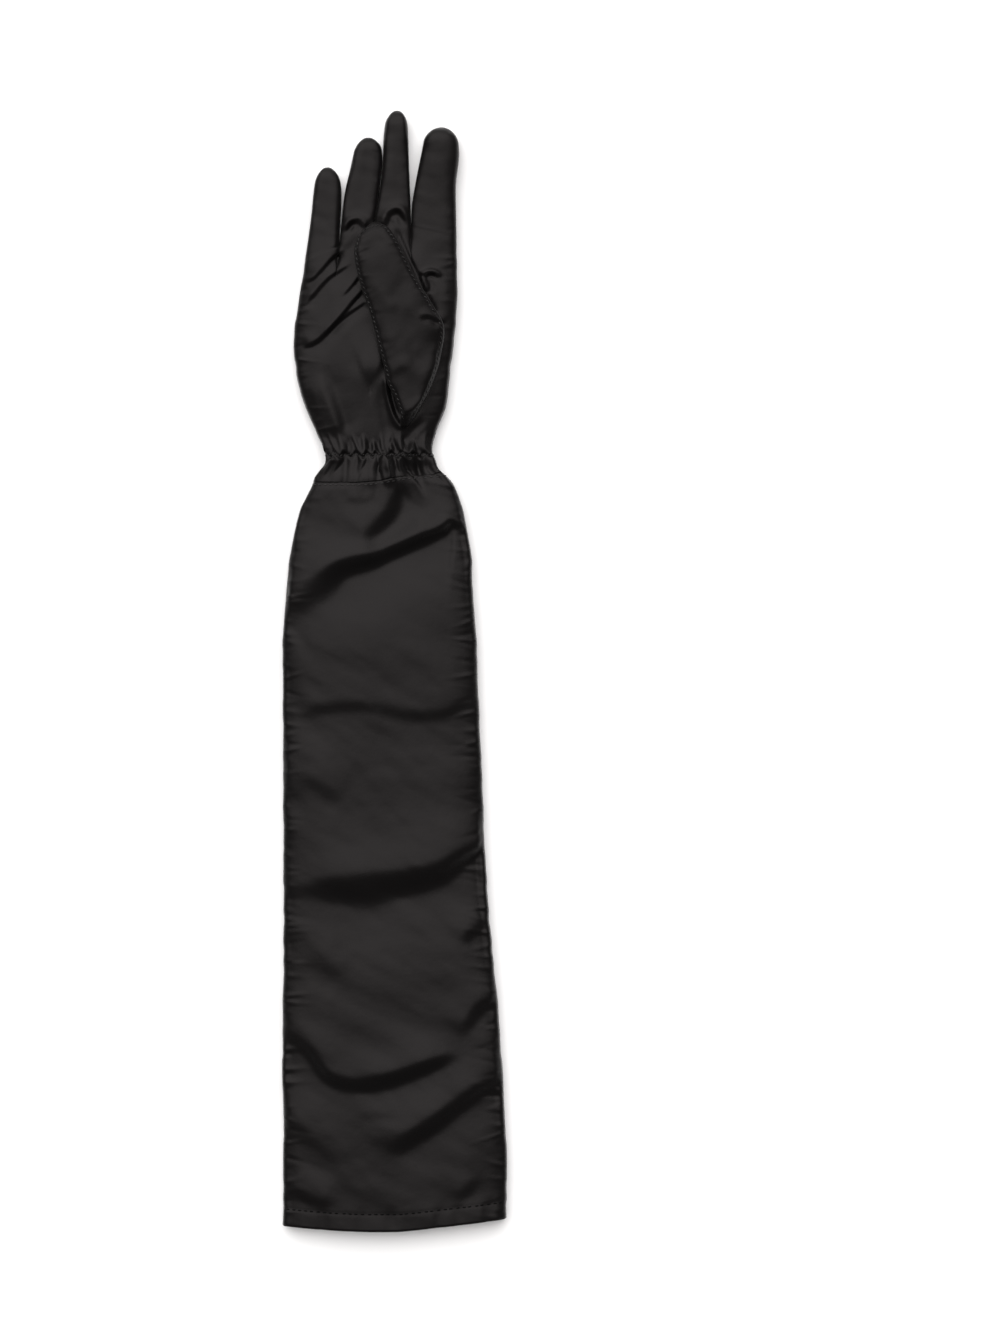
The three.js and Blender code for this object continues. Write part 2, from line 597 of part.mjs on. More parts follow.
// Outline of the slit in the palm that the thumb opens from, seen from above.
function thumbHoleShape() {
  const right = [];
  const left = [];
  for (let step = 0; step <= HOLE_STEPS; step += 1) {
    const along = mix(HOLE_START, HOLE_END, step / HOLE_STEPS);
    const rightEdge = thumbEdge('right', along);
    const leftEdge = thumbEdge('left', along);
    const holeX = holeSide(along);
    const share = (holeX - leftEdge.x) / (rightEdge.x - leftEdge.x);
    right.push(new THREE.Vector2(rightEdge.x - HOLE_MARGIN, rightEdge.y));
    left.push(new THREE.Vector2(holeX + SEAM_GAP, mix(leftEdge.y, rightEdge.y, share)));
  }
  return new THREE.Shape(right.concat(left.reverse()));
}

// Point of the sleeve at a depth under its outer face: across goes from 0 at the left seam to
// 1 at the right, and down from 0 at the wrist to 1 at the mouth.
function sleevePoint(across, down, isFront, depth, relief = 0) {
  const startLeft = handSide('left', seamRise(across) / PALM_LENGTH);
  const startRight = handSide('right', seamRise(across) / PALM_LENGTH);
  const left = mix(startLeft, -MOUTH_WIDTH / 2, readTable(SLEEVE_OUTLINE, 'down', 'left', down));
  const right = mix(startRight, MOUTH_WIDTH / 2, readTable(SLEEVE_OUTLINE, 'down', 'right', down));
  const top = seamY + seamRise(across) - SEAM_GAP / 2;
  const bottom = -totalLength / 2 + mouthRise(across);
  const height = SLEEVE_HEIGHT * readTable(SLEEVE_OUTLINE, 'down', 'height', down);
  const side = 2 * across - 1;
  const inset = depth * side * Math.pow(Math.abs(side), EDGE_INSET_POWER);
  const shell = depth * (1 - Math.pow(Math.abs(side), EDGE_SHELL_POWER));
  const seam = SEAM_HEIGHT + (isFront ? SEAM_GAP : -SEAM_GAP) / 2;
  const level = isFront
    ? seam + (height - seam) * pillow(across) - shell
    : seam * (1 - pillow(across, FLOOR_POWER)) + shell;
  return [mix(left, right, across) - inset, mix(top, bottom, down), level + relief];
}

// What the folds and the wrist's gathers add to the upper half of the sleeve.
function sleeveRelief(across, down, column) {
  const [x, y] = sleevePoint(across, down, true, 0);
  const sideFade = smoothStep(0, 0.08, across) * (1 - smoothStep(0.92, 1, across));
  const endFade = smoothStep(0, 0.02, down) * (1 - smoothStep(0.9, 0.97, down));
  const folds = foldHeight(SLEEVE_FOLDS, MOUTH_WIDTH, SLEEVE_LENGTH, x, seamY - y);
  return sideFade * (folds * endFade + gatherHeight(column, y));
}

// Half of the sleeve, upper or lower, from the wrist seam to the mouth.
function sleeveSheet(isFront) {
  const places = sleevePlaces(isFront);
  const rowCount = isFront ? SLEEVE_ROWS : SLEEVE_BACK_ROWS;
  const outer = [];
  const inner = [];
  for (let row = rowCount; row >= 0; row -= 1) {
    const down = row / rowCount;
    places.forEach((across, column) => {
      const relief = isFront ? sleeveRelief(across, down, column) : 0;
      outer.push(sleevePoint(across, down, isFront, 0, relief));
      inner.push(sleevePoint(across, down, isFront, WALL, relief));
    });
  }
  return closeWall(outer, inner, gridFaces(rowCount, places.length - 1, !isFront));
}

function sleevePlaces(isFront) {
  return isFront ? columnPlaces(SLEEVE_COLUMNS, 0.5) : columnPlaces(SLEEVE_BACK_COLUMNS, 0.7);
}

// The cloth turned up inside the mouth: a ring just within both halves of the sleeve.
function hemSheet() {
  const depth = HEM_DEPTH / SLEEVE_LENGTH;
  const upper = sleevePlaces(true).map((across) => [across, true]);
  const lower = sleevePlaces(false).reverse().slice(1, -1).map((across) => [across, false]);
  const places = upper.concat(lower);
  const outer = [];
  const inner = [];
  [1, 1 - depth].forEach((down) => {
    places.forEach(([across, isFront]) => {
      outer.push(sleevePoint(across, down, isFront, WALL + SEAM_GAP));
      inner.push(sleevePoint(across, down, isFront, 2 * WALL + SEAM_GAP));
    });
  });
  const faces = places.map((_, column) => {
    const next = (column + 1) % places.length;
    return [column, next, places.length + next, places.length + column];
  });
  return closeWall(outer, inner, faces);
}

const wasm = await Module();
wasm.setup();

function toSolid(geometry) {
  const vertProperties = new Float32Array(geometry.attributes.position.array);
  const triVerts = new Uint32Array(geometry.index.array);
  return new wasm.Manifold(new wasm.Mesh({ numProp: 3, vertProperties, triVerts }));
}

function toGeometry(solid) {
  const mesh = solid.getMesh();
  const geometry = new THREE.BufferGeometry();
  geometry.setAttribute('position', new THREE.BufferAttribute(mesh.vertProperties, 3));
  geometry.setIndex(new THREE.BufferAttribute(mesh.triVerts, 1));
  return geometry;
}

// A straight-sided block of a flat outline, with its points shared.
function blockOf(shape, low, high) {
  const flat = shape.getPoints(1);
  if (THREE.ShapeUtils.area(flat) < 0) {
    flat.reverse();
  }
  const outer = flat.map((point) => [point.x, point.y, high]);
  const inner = flat.map((point) => [point.x, point.y, low]);
  const count = flat.length;
  const triangles = [];
  THREE.ShapeUtils.triangulateShape(flat, []).forEach(([a, b, c]) => {
    triangles.push(a, b, c, count + a, count + c, count + b);
  });
  for (let index = 0; index < count; index += 1) {
    const next = (index + 1) % count;
    triangles.push(next, index, count + index, next, count + index, count + next);
  }
  const geometry = new THREE.BufferGeometry();
  geometry.setAttribute('position', new THREE.Float32BufferAttribute(outer.concat(inner).flat(), 3));
  geometry.setIndex(triangles);
  return geometry;
}

// The palm with the slit for the thumb cut through it.
function palmPanel() {
  const block = blockOf(thumbHoleShape(), SEAM_HEIGHT + WALL, 2 * HAND_HEIGHT);
  return toGeometry(toSolid(handSheet(true)).subtract(toSolid(block)));
}

function satin(color, roughness) {
  return new THREE.MeshStandardMaterial({ color, roughness, metalness: 0 });
}

const palmSatin = () => satin(0x1d1a1e, 0.42);
const insideSatin = () => satin(0x252126, 0.55);

function part(name, geometry, material) {
  geometry.computeVertexNormals();
  const mesh = new THREE.Mesh(geometry, material);
  mesh.name = name;
  return mesh;
}

function handGroup() {
  const group = new THREE.Group();
  group.add(part('palm_panel', palmPanel(), palmSatin()));
  group.add(part('hand_back_panel', handSheet(false), palmSatin()));
  FINGERS.slice(0, -1).forEach((finger, index) => {
    const name = `fourchette_${finger.name}_${FINGERS[index + 1].name}`;
    group.add(part(name, fourchetteSheet(index), insideSatin()));
  });
  return group;
}

function thumbGroup() {
  const group = new THREE.Group();
  group.add(part('thumb_front_panel', thumbSheet(true), palmSatin()));
  group.add(part('thumb_back_panel', thumbSheet(false), palmSatin()));
  return group;
}

function sleeveGroup() {
  const group = new THREE.Group();
  group.add(part('sleeve_front_panel', sleeveSheet(true), palmSatin()));
  group.add(part('sleeve_back_panel', sleeveSheet(false), palmSatin()));
  group.add(part('hem_band', hemSheet(), insideSatin()));
  return group;
}

const glove = new THREE.Group();
glove.add(handGroup(), thumbGroup(), sleeveGroup());

export default glove;
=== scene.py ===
"""Looks of a long silk glove that lies flat, palm up, with the thumb folded over the palm.

Shapes are worked out in millimetres, or as shares of the named sizes, and put into the scene
in metres. +Y points to the fingertips and +Z up out of the palm.
"""

from __future__ import annotations

import logging
import math
from dataclasses import dataclass, field
from enum import Enum

import bpy
import numpy as np
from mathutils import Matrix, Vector


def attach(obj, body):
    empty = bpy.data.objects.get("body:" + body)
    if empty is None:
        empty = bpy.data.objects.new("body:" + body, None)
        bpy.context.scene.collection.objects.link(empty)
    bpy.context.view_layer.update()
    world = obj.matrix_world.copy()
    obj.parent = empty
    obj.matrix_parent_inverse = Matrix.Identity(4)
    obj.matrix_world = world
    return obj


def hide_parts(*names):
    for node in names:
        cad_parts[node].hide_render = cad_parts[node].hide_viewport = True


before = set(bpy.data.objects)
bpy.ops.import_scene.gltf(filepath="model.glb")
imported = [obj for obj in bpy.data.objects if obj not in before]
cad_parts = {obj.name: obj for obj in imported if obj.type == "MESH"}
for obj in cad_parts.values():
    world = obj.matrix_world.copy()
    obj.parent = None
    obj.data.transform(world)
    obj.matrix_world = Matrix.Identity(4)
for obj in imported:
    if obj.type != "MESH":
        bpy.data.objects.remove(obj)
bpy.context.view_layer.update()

Array = np.ndarray

LOG = logging.getLogger("glove")
MM = 0.001
TAU = 2 * math.pi
# least height of any point over the table, in millimetres
TABLE_GAP = 0.02
# a line runs along the glove where it goes across it by less than this share of its length
ALONG_LIMIT = 0.35
LATTICE = 128
LATTICE_START = (400.37, 400.71)


class Slot(Enum):
    """Names of material slots."""

    SATIN = "satin"
    STRIPS = "finger_strips"
    HEM = "hem"
    THREAD = "thread"


class Held(Enum):
    """Ways in which a piece of the cloth is held."""

    LAID = "laid"
    GATHERED = "gathered"
    FOLDED = "folded"


def mix(start: Array | float, end: Array | float, share: Array | float) -> Array | float:
    """The value that lies at a share of the way from start to end."""
    return start + (end - start) * share


def ease(low: float, high: float, value: Array | float) -> Array:
    """Smooth step: 0 up to low, 1 from high on, and 3t^2 - 2t^3 between them."""
    share = np.clip((np.asarray(value, float) - low) / (high - low), 0.0, 1.0)
    return share * share * (3 - 2 * share)


def quintic(share: Array) -> Array:
    """Step that is smooth to its second slope: 6t^5 - 15t^4 + 10t^3."""
    return share**3 * (share * (6 * share - 15) + 10)


def between_ends(share: Array, start: float, end: float) -> Array:
    """1 between two ends, to which it falls off by smooth steps of the given widths."""
    return ease(0, start, share) * ease(0, end, 1 - share)


def pillow(across: Array, power: float) -> Array:
    """Height of a puffed section: (1 - |2a - 1|^p)^(1/p), so 0 at both sides and 1 between."""
    side = np.minimum(1.0, np.abs(2 * across - 1))
    return (1 - side**power) ** (1 / power)


def crowded(count: int, crowding: float) -> Array:
    """Shares from 0 to 1 in count steps, mixed from even steps to cosine ones by crowding."""
    even = np.linspace(0.0, 1.0, count + 1)
    return mix(even, (1 - np.cos(math.pi * even)) / 2, crowding)


def drift(x: Array, y: Array, pitch: tuple[float, float], seed: int) -> Array:
    """A smooth random field from -1 to 1.

    Random numbers sit on a lattice with the given pitch, and the value between four of them
    is their mean, weighted by quintic steps in x and in y.

    Args:
        x: Places along the first direction.
        y: Places along the second direction.
        pitch: Distance between lattice points in both directions.
        seed: Number that fixes the lattice.

    Returns:
        The field at each place.
    """
    lattice = np.random.default_rng(seed).uniform(-1, 1, (LATTICE, LATTICE))
    u = np.asarray(x, float) / pitch[0] + LATTICE_START[0]
    v = np.asarray(y, float) / pitch[1] + LATTICE_START[1]
    column, row = np.floor(u).astype(int), np.floor(v).astype(int)
    s, t = quintic(u - column), quintic(v - row)
    left, right = column % LATTICE, (column + 1) % LATTICE
    lower, upper = row % LATTICE, (row + 1) % LATTICE
    low = mix(lattice[left, lower], lattice[right, lower], s)
    return mix(low, mix(lattice[left, upper], lattice[right, upper], s), t)


@dataclass(frozen=True)
class Table:
    """Smooth curves through rows of numbers, whose first number is the place of the row."""

    rows: tuple[tuple[float, ...], ...]

    def read(self, column: int, place: Array | float) -> Array:
        """Value of a column, by cubic steps whose slopes come from the neighbouring rows.

        Args:
            column: Which number of a row is wanted.
            place: Places along the table, held to its ends.

        Returns:
            The value at each place.
        """
        keys = np.array([row[0] for row in self.rows])
        values = np.array([row[column] for row in self.rows])
        last = len(keys) - 1
        held = np.clip(np.asarray(place, float), keys[0], keys[-1])
        row = np.clip(np.searchsorted(keys, held, side="left") - 1, 0, last - 1)
        before = np.maximum(np.arange(last + 1) - 1, 0)
        after = np.minimum(np.arange(last + 1) + 1, last)
        slopes = (values[after] - values[before]) / (keys[after] - keys[before])
        span = keys[row + 1] - keys[row]
        share = (held - keys[row]) / span
        rise = share * share * (3 - 2 * share)
        start_turn = share * (1 - share) ** 2 * span * slopes[row]
        end_turn = share * share * (1 - share) * span * slopes[row + 1]
        return mix(values[row], values[row + 1], rise) + start_turn - end_turn


def blurred(values: Array, times: int) -> Array:
    """A grid whose every value is averaged with its neighbours, the given number of times."""
    for _ in range(times):
        padded = np.pad(values, 1, mode="edge")
        values = (padded[:-2] + 2 * padded[1:-1] + padded[2:]) / 4
        values = (values[:, :-2] + 2 * values[:, 1:-1] + values[:, 2:]) / 4
    return values


def smooth_line(points: Array, steps: int = 6) -> Array:
    """A line through points, rounded by Catmull-Rom cubics with the given steps a span."""
    if len(points) < 3:
        return points
    padded = np.vstack([2 * points[0] - points[1], points, 2 * points[-1] - points[-2]])
    share = np.linspace(0, 1, steps, endpoint=False)[:, None]
    spans = []
    for index in range(1, len(padded) - 2):
        a, b, c, d = padded[index - 1 : index + 3]
        cubic = (-a + 3 * b - 3 * c + d) * share**3 + (2 * a - 5 * b + 4 * c - d) * share**2
        spans.append((cubic + (c - a) * share + 2 * b) / 2)
    return np.vstack(spans + [points[-1:]])


def run_of(line: Array) -> Array:
    """How far each point of a line lies from its start, measured along the line."""
    steps = np.linalg.norm(np.diff(line, axis=0), axis=1)
    return np.concatenate([[0.0], np.cumsum(steps)])


def beside(x: Array, y: Array, line: Array) -> tuple[Array, Array]:
    """Where places lie beside a line.

    Args:
        x: Places across the glove.
        y: Places along the glove.
        line: The line's points.

    Returns:
        The distance from the line, which counts up on the side towards the fingertips, or to
        the right of a line that runs along the glove, and the share of the line's length.
    """
    run = line[-1] - line[0]
    upward = run[0] if abs(run[0]) > ALONG_LIMIT * abs(run[1]) else -run[1]
    turn = 1.0 if upward > 0 else -1.0
    lengths = np.hypot(*np.diff(line, axis=0).T)
    done = np.concatenate([[0.0], np.cumsum(lengths)])
    nearest = np.full(np.shape(x), np.inf)
    signed = np.zeros(np.shape(x))
    share = np.zeros(np.shape(x))
    for index, length in enumerate(lengths):
        start = line[index]
        step = (line[index + 1] - start) / length
        east, north = x - start[0], y - start[1]
        along = np.clip(east * step[0] + north * step[1], 0, length)
        side = step[0] * north - step[1] * east
        distance = np.hypot(east - along * step[0], north - along * step[1])
        closer = distance < nearest
        nearest = np.where(closer, distance, nearest)
        signed = np.where(closer, np.copysign(distance, side * turn), signed)
        share = np.where(closer, (done[index] + along) / done[-1], share)
    return signed, share


@dataclass(frozen=True)
class Fold:
    """One fold of the cloth: a crest along a line, falling off on either side of it."""

    path: tuple[tuple[float, float], ...]
    height: float
    upper: float = 5.0
    lower: float = 3.0
    dip: float = 0.0
    away: float = 6.0
    dip_reach: float = 4.0
    fade: tuple[float, float] = (0.3, 0.3)

    def lift(self, x: Array, y: Array, line: Array) -> Array:
        """Height that the fold adds at each place.

        With d the distance from the crest, counted up on the upper side, it is
        height * exp(-(d / reach)^2) less dip * exp(-((d + away) / dip_reach)^2), and both
        ends of the line fade in by a smooth step.

        Args:
            x: Places across the glove.
            y: Places along the glove.
            line: The crest's points in millimetres.

        Returns:
            The height at each place.
        """
        signed, share = beside(x, y, smooth_line(line))
        reach = np.where(signed > 0, self.upper, self.lower)
        crest = self.height * np.exp(-((signed / reach) ** 2))
        hollow = self.dip * np.exp(-(((signed + self.away) / self.dip_reach) ** 2))
        return (crest - hollow) * between_ends(share, *self.fade)


@dataclass(frozen=True)
class Drop:
    """A fold where the cloth climbs slowly to a crest, drops, and slowly comes level again.

    Each point of its path also has the width of the drop in millimetres and its size there.
    """

    path: tuple[tuple[float, float, float, float], ...]
    height: float
    dip: float
    upper: float = 14.0
    recover: float = 18.0
    fade: tuple[float, float] = (0.12, 0.12)

    def lift(self, x: Array, y: Array, line: Array) -> Array:
        """Height that the fold adds at each place.

        With d the distance from the crest, it is height * exp(-(d / upper)^2) on the upper
        side, a quintic step from height to -dip round the middle of the drop, half as wide
        again as the width, and then -dip * exp(-((d + width) / recover)^2). Both ends of the
        line fade in.

        Args:
            x: Places across the glove.
            y: Places along the glove.
            line: The crest's points in millimetres, with the width and the size at each.

        Returns:
            The height at each place.
        """
        smooth = smooth_line(line)
        signed, share = beside(x, y, smooth[:, :2])
        run = run_of(smooth[:, :2])
        places = run / run[-1]
        width = np.interp(share, places, smooth[:, 2])
        size = np.interp(share, places, smooth[:, 3])
        above = self.height * np.exp(-((np.maximum(signed, 0) / self.upper) ** 2))
        past = np.maximum(-signed - width, 0) / self.recover
        below = -self.dip * np.exp(-(past**2))
        part = np.clip((0.25 * width - signed) / (1.5 * width), 0, 1)
        drop = mix(above, below, quintic(part))
        return drop * size * between_ends(share, *self.fade)


@dataclass(frozen=True)
class Folds:
    """A set of folds whose points are shares of a width across and of a length along."""

    folds: tuple[Fold | Drop, ...]
    scale: tuple[float, float]
    origin: tuple[float, float]

    def lift(self, x: Array, y: Array) -> Array:
        """Sum of the heights of all the folds at each place."""
        total = np.zeros(np.shape(x))
        for fold in self.folds:
            line = np.array(fold.path, dtype=float)
            line[:, :2] = line[:, :2] * self.scale + self.origin
            total = total + fold.lift(x, y, line)
        return total


@dataclass(frozen=True)
class Puckers:
    """Short wrinkles that a sewn seam draws up across itself."""

    seed: int
    pitch: float = 4.2
    height: float = 0.5
    reach: float = 6.0
    width: float = 0.95
    slant: float = 0.35

    def lift(self, along: Array, away: Array) -> Array:
        """Height of the wrinkles beside a seam.

        Each wrinkle is amplitude * exp(-((s + slant * d - place) / width)^2), which rises over
        the first millimetre off the seam and fades as exp(-(d / reach)^2), where s runs along
        the seam and d away from it.

        Args:
            along: Places along the seam.
            away: Distances from the seam.

        Returns:
            The height at each place.
        """
        rng = np.random.default_rng(self.seed)
        low, high = float(np.min(along)), float(np.max(along))
        count = int((high - low) / self.pitch) + 2
        gaps = rng.uniform(0.45, 1.55, count) * self.pitch
        places = low + np.cumsum(gaps)
        sizes = rng.uniform(0.25, 1.0, count) * rng.choice([1.0, -0.8], count, p=[0.6, 0.4])
        widths = self.width * rng.uniform(0.7, 1.5, count)
        reaches = self.reach * rng.uniform(0.45, 1.5, count)
        slants = rng.uniform(-1, 1, count) * self.slant
        total = np.zeros(np.shape(along))
        for place, size, width, reach, slant in zip(places, sizes, widths, reaches, slants):
            wave = np.exp(-(((along + slant * away - place) / width) ** 2))
            total = total + size * wave * np.exp(-((away / reach) ** 2))
        return self.height * total * (1 - np.exp(-((away / 0.9) ** 2)))


@dataclass(frozen=True)
class Gathers:
    """The puffs that an elastic line draws up, which point away from it both ways."""

    seed: int
    width: float = 58.0
    half_up: float = 2.76
    half_down: float = 3.68
    height: float = 4.2
    reach_up: float = 11.0
    reach_down: float = 17.0
    pinch: float = 0.25

    def row(self, seed: int, place: Array, past: Array, size: float, reach: float) -> Array:
        """One row of puffs on one side of the line.

        A puff is size * sqrt(1 - u^2) across, with u from -1 to 1 over its width, times a
        steep rise over the first millimetres off the line and a slow fall to nothing at its
        own reach. Where two puffs overlap the higher one counts, so a crease parts them.

        Args:
            seed: Number that fixes the puffs.
            place: Places along the line in millimetres.
            past: Distance from the line on this side.
            size: Mean half width of a puff.
            reach: Mean length of a puff.

        Returns:
            The height at each place.
        """
        rng = np.random.default_rng(seed)
        total = np.zeros(np.broadcast(place, past).shape)
        centre = -0.5 * size
        while centre < self.width + size:
            half = size * rng.uniform(0.65, 1.5)
            own = reach * rng.uniform(0.55, 1.45)
            high = self.height * rng.uniform(0.35, 1.2)
            lean = rng.uniform(-0.28, 0.28)
            centre = centre + half * 0.82
            across = (place - centre - lean * past) / (half * (1 + 0.25 * past / own))
            round_top = np.sqrt(np.maximum(0, 1 - across**2))
            fall = ease(-0.9, 1.5, past) * (1 - ease(0.05, 1.0, past / own))
            total = np.maximum(total, high * round_top * fall)
            centre = centre + half * 0.82
        return total

    def lift(self, across: Array, past: Array) -> Array:
        """Height of the gathers around the elastic line.

        Args:
            across: Share of the wrist's width, 0 at the left side.
            past: Distance above the elastic line.

        Returns:
            The height at each place.
        """
        place = across * self.width
        zigzag = past - 1.3 * np.sin(place * TAU / 5.1 + 1.3 * np.sin(place * 0.21))
        up = self.row(self.seed, place, zigzag, self.half_up, self.reach_up)
        down = self.row(self.seed + 1, place, -zigzag, self.half_down, self.reach_down)
        return up + down - self.pinch * np.exp(-((zigzag / 1.1) ** 2))


@dataclass
class Sheet:
    """A grid of points in millimetres, with the place of each on the flat cloth."""

    points: Array
    flat: Array
    faces_up: bool = True

    @classmethod
    def over(cls, x: Array, y: Array, z: Array, faces_up: bool) -> "Sheet":
        """A grid whose points have their own x and y as their places on the flat cloth."""
        x, y, z = np.broadcast_arrays(x, y, z)
        return cls(np.stack([x, y, z], 2), np.stack([x, y], 2), faces_up)

    def crossed(self) -> Array:
        """Cross product of the grid's two slopes at each point."""
        down, across = np.gradient(self.points, axis=0), np.gradient(self.points, axis=1)
        return np.cross(across, down)

    def normals(self) -> Array:
        """Unit normal at each point, on the side that the cloth faces."""
        normal = self.crossed()
        length = np.linalg.norm(normal, axis=2, keepdims=True)
        normal = normal / np.maximum(length, 1e-9)
        outward = 1.0 if self.faces_up else -1.0
        middle = np.sign(np.mean(normal[..., 2])) or 1.0
        return normal * middle * outward

    def raised(self, height: Array) -> "Sheet":
        """The same grid, moved by a height along its normals."""
        points = self.points + self.normals() * height[..., None]
        points[..., 2] = np.maximum(points[..., 2], TABLE_GAP)
        return Sheet(points, self.flat, self.faces_up)

    def at(self, row: Array, column: Array) -> tuple[Array, Array]:
        """Points and normals at fractional rows and columns, by the mean of four corners.

        Args:
            row: Fractional row of each place.
            column: Fractional column of each place.

        Returns:
            The points and the unit normals.
        """
        rows, columns = self.points.shape[:2]
        row = np.clip(row, 0, rows - 1.001)
        column = np.clip(column, 0, columns - 1.001)
        i, j = np.floor(row).astype(int), np.floor(column).astype(int)
        s, t = (row - i)[:, None], (column - j)[:, None]

        def between(values: Array) -> Array:
            """The bilinear mean of an array over the grid."""
            low = mix(values[i, j], values[i, j + 1], t)
            return mix(low, mix(values[i + 1, j], values[i + 1, j + 1], t), s)

        normal = between(self.normals())
        return between(self.points), normal / np.linalg.norm(normal, axis=1, keepdims=True)

    def faces(self) -> Array:
        """Quads of the grid, wound so that they face outwards."""
        rows, columns = self.points.shape[:2]
        corner = (np.arange(rows - 1)[:, None] * columns + np.arange(columns - 1)).ravel()
        quads = np.stack([corner, corner + 1, corner + columns + 1, corner + columns], axis=1)
        rising = float(np.mean(self.crossed()[..., 2])) > 0
        return quads if rising == self.faces_up else quads[:, ::-1]


def put_in_scene(name: str, points: Array, faces: Array, flat: Array | None) -> bpy.types.Object:
    """Makes an object of points in millimetres, smooth shaded and at the origin.

    Args:
        name: Name of the piece.
        points: One row of x, y and z a point.
        faces: One row of point numbers a face.
        flat: Place of each point on the flat cloth, or None where the piece has none.

    Returns:
        The new object.
    """
    mesh = bpy.data.meshes.new(name)
    sides = faces.shape[1]
    mesh.vertices.add(len(points))
    mesh.vertices.foreach_set("co", (points * MM).astype(np.float32).ravel())
    mesh.loops.add(faces.size)
    mesh.loops.foreach_set("vertex_index", faces.astype(np.int32).ravel())
    mesh.polygons.add(len(faces))
    mesh.polygons.foreach_set("loop_start", np.arange(0, faces.size, sides, dtype=np.int32))
    mesh.polygons.foreach_set("use_smooth", np.ones(len(faces), dtype=bool))
    mesh.update(calc_edges=True)
    mesh.validate()
    if flat is not None:
        layer = mesh.uv_layers.new(name="cloth")
        layer.uv.foreach_set("vector", flat[faces.ravel()].astype(np.float32).ravel())
    piece = bpy.data.objects.new(name, mesh)
    bpy.context.scene.collection.objects.link(piece)
    return piece


def joined(sheets: list[Sheet]) -> tuple[Array, Array, Array]:
    """Grids put together as one mesh, with the points that fall together merged.

    Args:
        sheets: The grids.

    Returns:
        Points, faces and places on the flat cloth.
    """
    points, faces, flat, start = [], [], [], 0
    for sheet in sheets:
        faces.append(sheet.faces() + start)
        points.append(sheet.points.reshape(-1, 3))
        flat.append(sheet.flat.reshape(-1, 2))
        start += len(points[-1])
    every = np.vstack(points)
    rounded = np.round(every / 0.002).astype(np.int64)
    _, first, place = np.unique(rounded, axis=0, return_index=True, return_inverse=True)
    return every[first], place.reshape(-1)[np.vstack(faces)], np.vstack(flat)[first]


@dataclass(frozen=True)
class Cloth:
    """How a piece of cloth is finished: its material, a slot name and its thickness."""

    material: bpy.types.Material
    slot: Slot = Slot.SATIN
    thickness: float = 0.45

    def make(self, name: str, sheets: list[Sheet], node: str) -> bpy.types.Object:
        """Puts grids into the scene as one piece of cloth that stands for a node.

        Args:
            name: Name of the piece.
            sheets: The grids that it is made of.
            node: The node that the piece replaces.

        Returns:
            The new object.
        """
        points, faces, flat = joined(sheets)
        corners = np.sort(faces, axis=1)
        whole = (np.diff(corners, axis=1) > 0).all(axis=1)
        piece = put_in_scene(name, points, faces[whole], flat)
        wall = piece.modifiers.new("cloth", "SOLIDIFY")
        wall.thickness = self.thickness * MM
        wall.offset = -1
        wall.use_rim = True
        piece.data.materials.append(self.material)
        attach(piece, "root")
        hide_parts(node)
        LOG.info("%s: %d faces", name, int(whole.sum()))
        return piece


# up, left side, right side, height: shares of the palm's length, the hand's width and height
HAND_OUTLINE = Table((
    (-0.04, -0.515, 0.345, 1.0),
    (0.0, -0.505, 0.333, 0.96),
    (0.033, -0.468, 0.28, 0.88),
    (0.067, -0.432, 0.254, 0.82),
    (0.117, -0.441, 0.229, 0.8),
    (0.192, -0.492, 0.254, 0.86),
    (0.292, -0.554, 0.31, 0.94),
    (0.417, -0.61, 0.337, 1.0),
    (0.567, -0.629, 0.361, 1.0),
    (0.742, -0.604, 0.39, 1.0),
    (0.9, -0.564, 0.387, 0.94),
    (1.0, -0.545, 0.383, 0.9),
    (1.12, -0.53, 0.382, 0.86),
))
# roots of the fingers from left to right: shares of the hand's width and the palm's length
KNUCKLES = ((-0.564, 0.9), (-0.349, 0.958), (-0.125, 1.083), (0.1, 1.046), (0.383, 1.0))

# across from 0 to 1, rise as a share of the seam's or of the mouth's slant
SEAM_LINE = Table(((0, -0.85), (0.35, -1), (0.5, -0.65), (0.65, 0.1), (0.82, 0.55), (1, 0.9)))
MOUTH_EDGE = Table(((0, 0.4), (0.25, 0.1), (0.5, 0), (0.72, 0.4), (1, 1)))

# down, shares of its widening that the left and the right side have done, share of the height
SLEEVE_OUTLINE = Table((
    (0, 0, 0, 0.84),
    (0.016, 0.2, 0.17, 0.85),
    (0.036, 0.42, 0.26, 0.86),
    (0.069, 0.65, 0.355, 0.9),
    (0.102, 0.785, 0.425, 0.94),
    (0.136, 0.905, 0.455, 0.97),
    (0.203, 1.005, 0.5, 1),
    (0.302, 1.03, 0.555, 0.98),
    (0.402, 1.01, 0.605, 0.96),
    (0.502, 0.99, 0.643, 0.96),
    (0.602, 1.0, 0.728, 1),
    (0.7, 1.02, 0.842, 1),
    (0.8, 1.02, 0.918, 0.97),
    (0.9, 1.01, 0.995, 0.93),
    (1, 1.01, 0.99, 0.88),
))

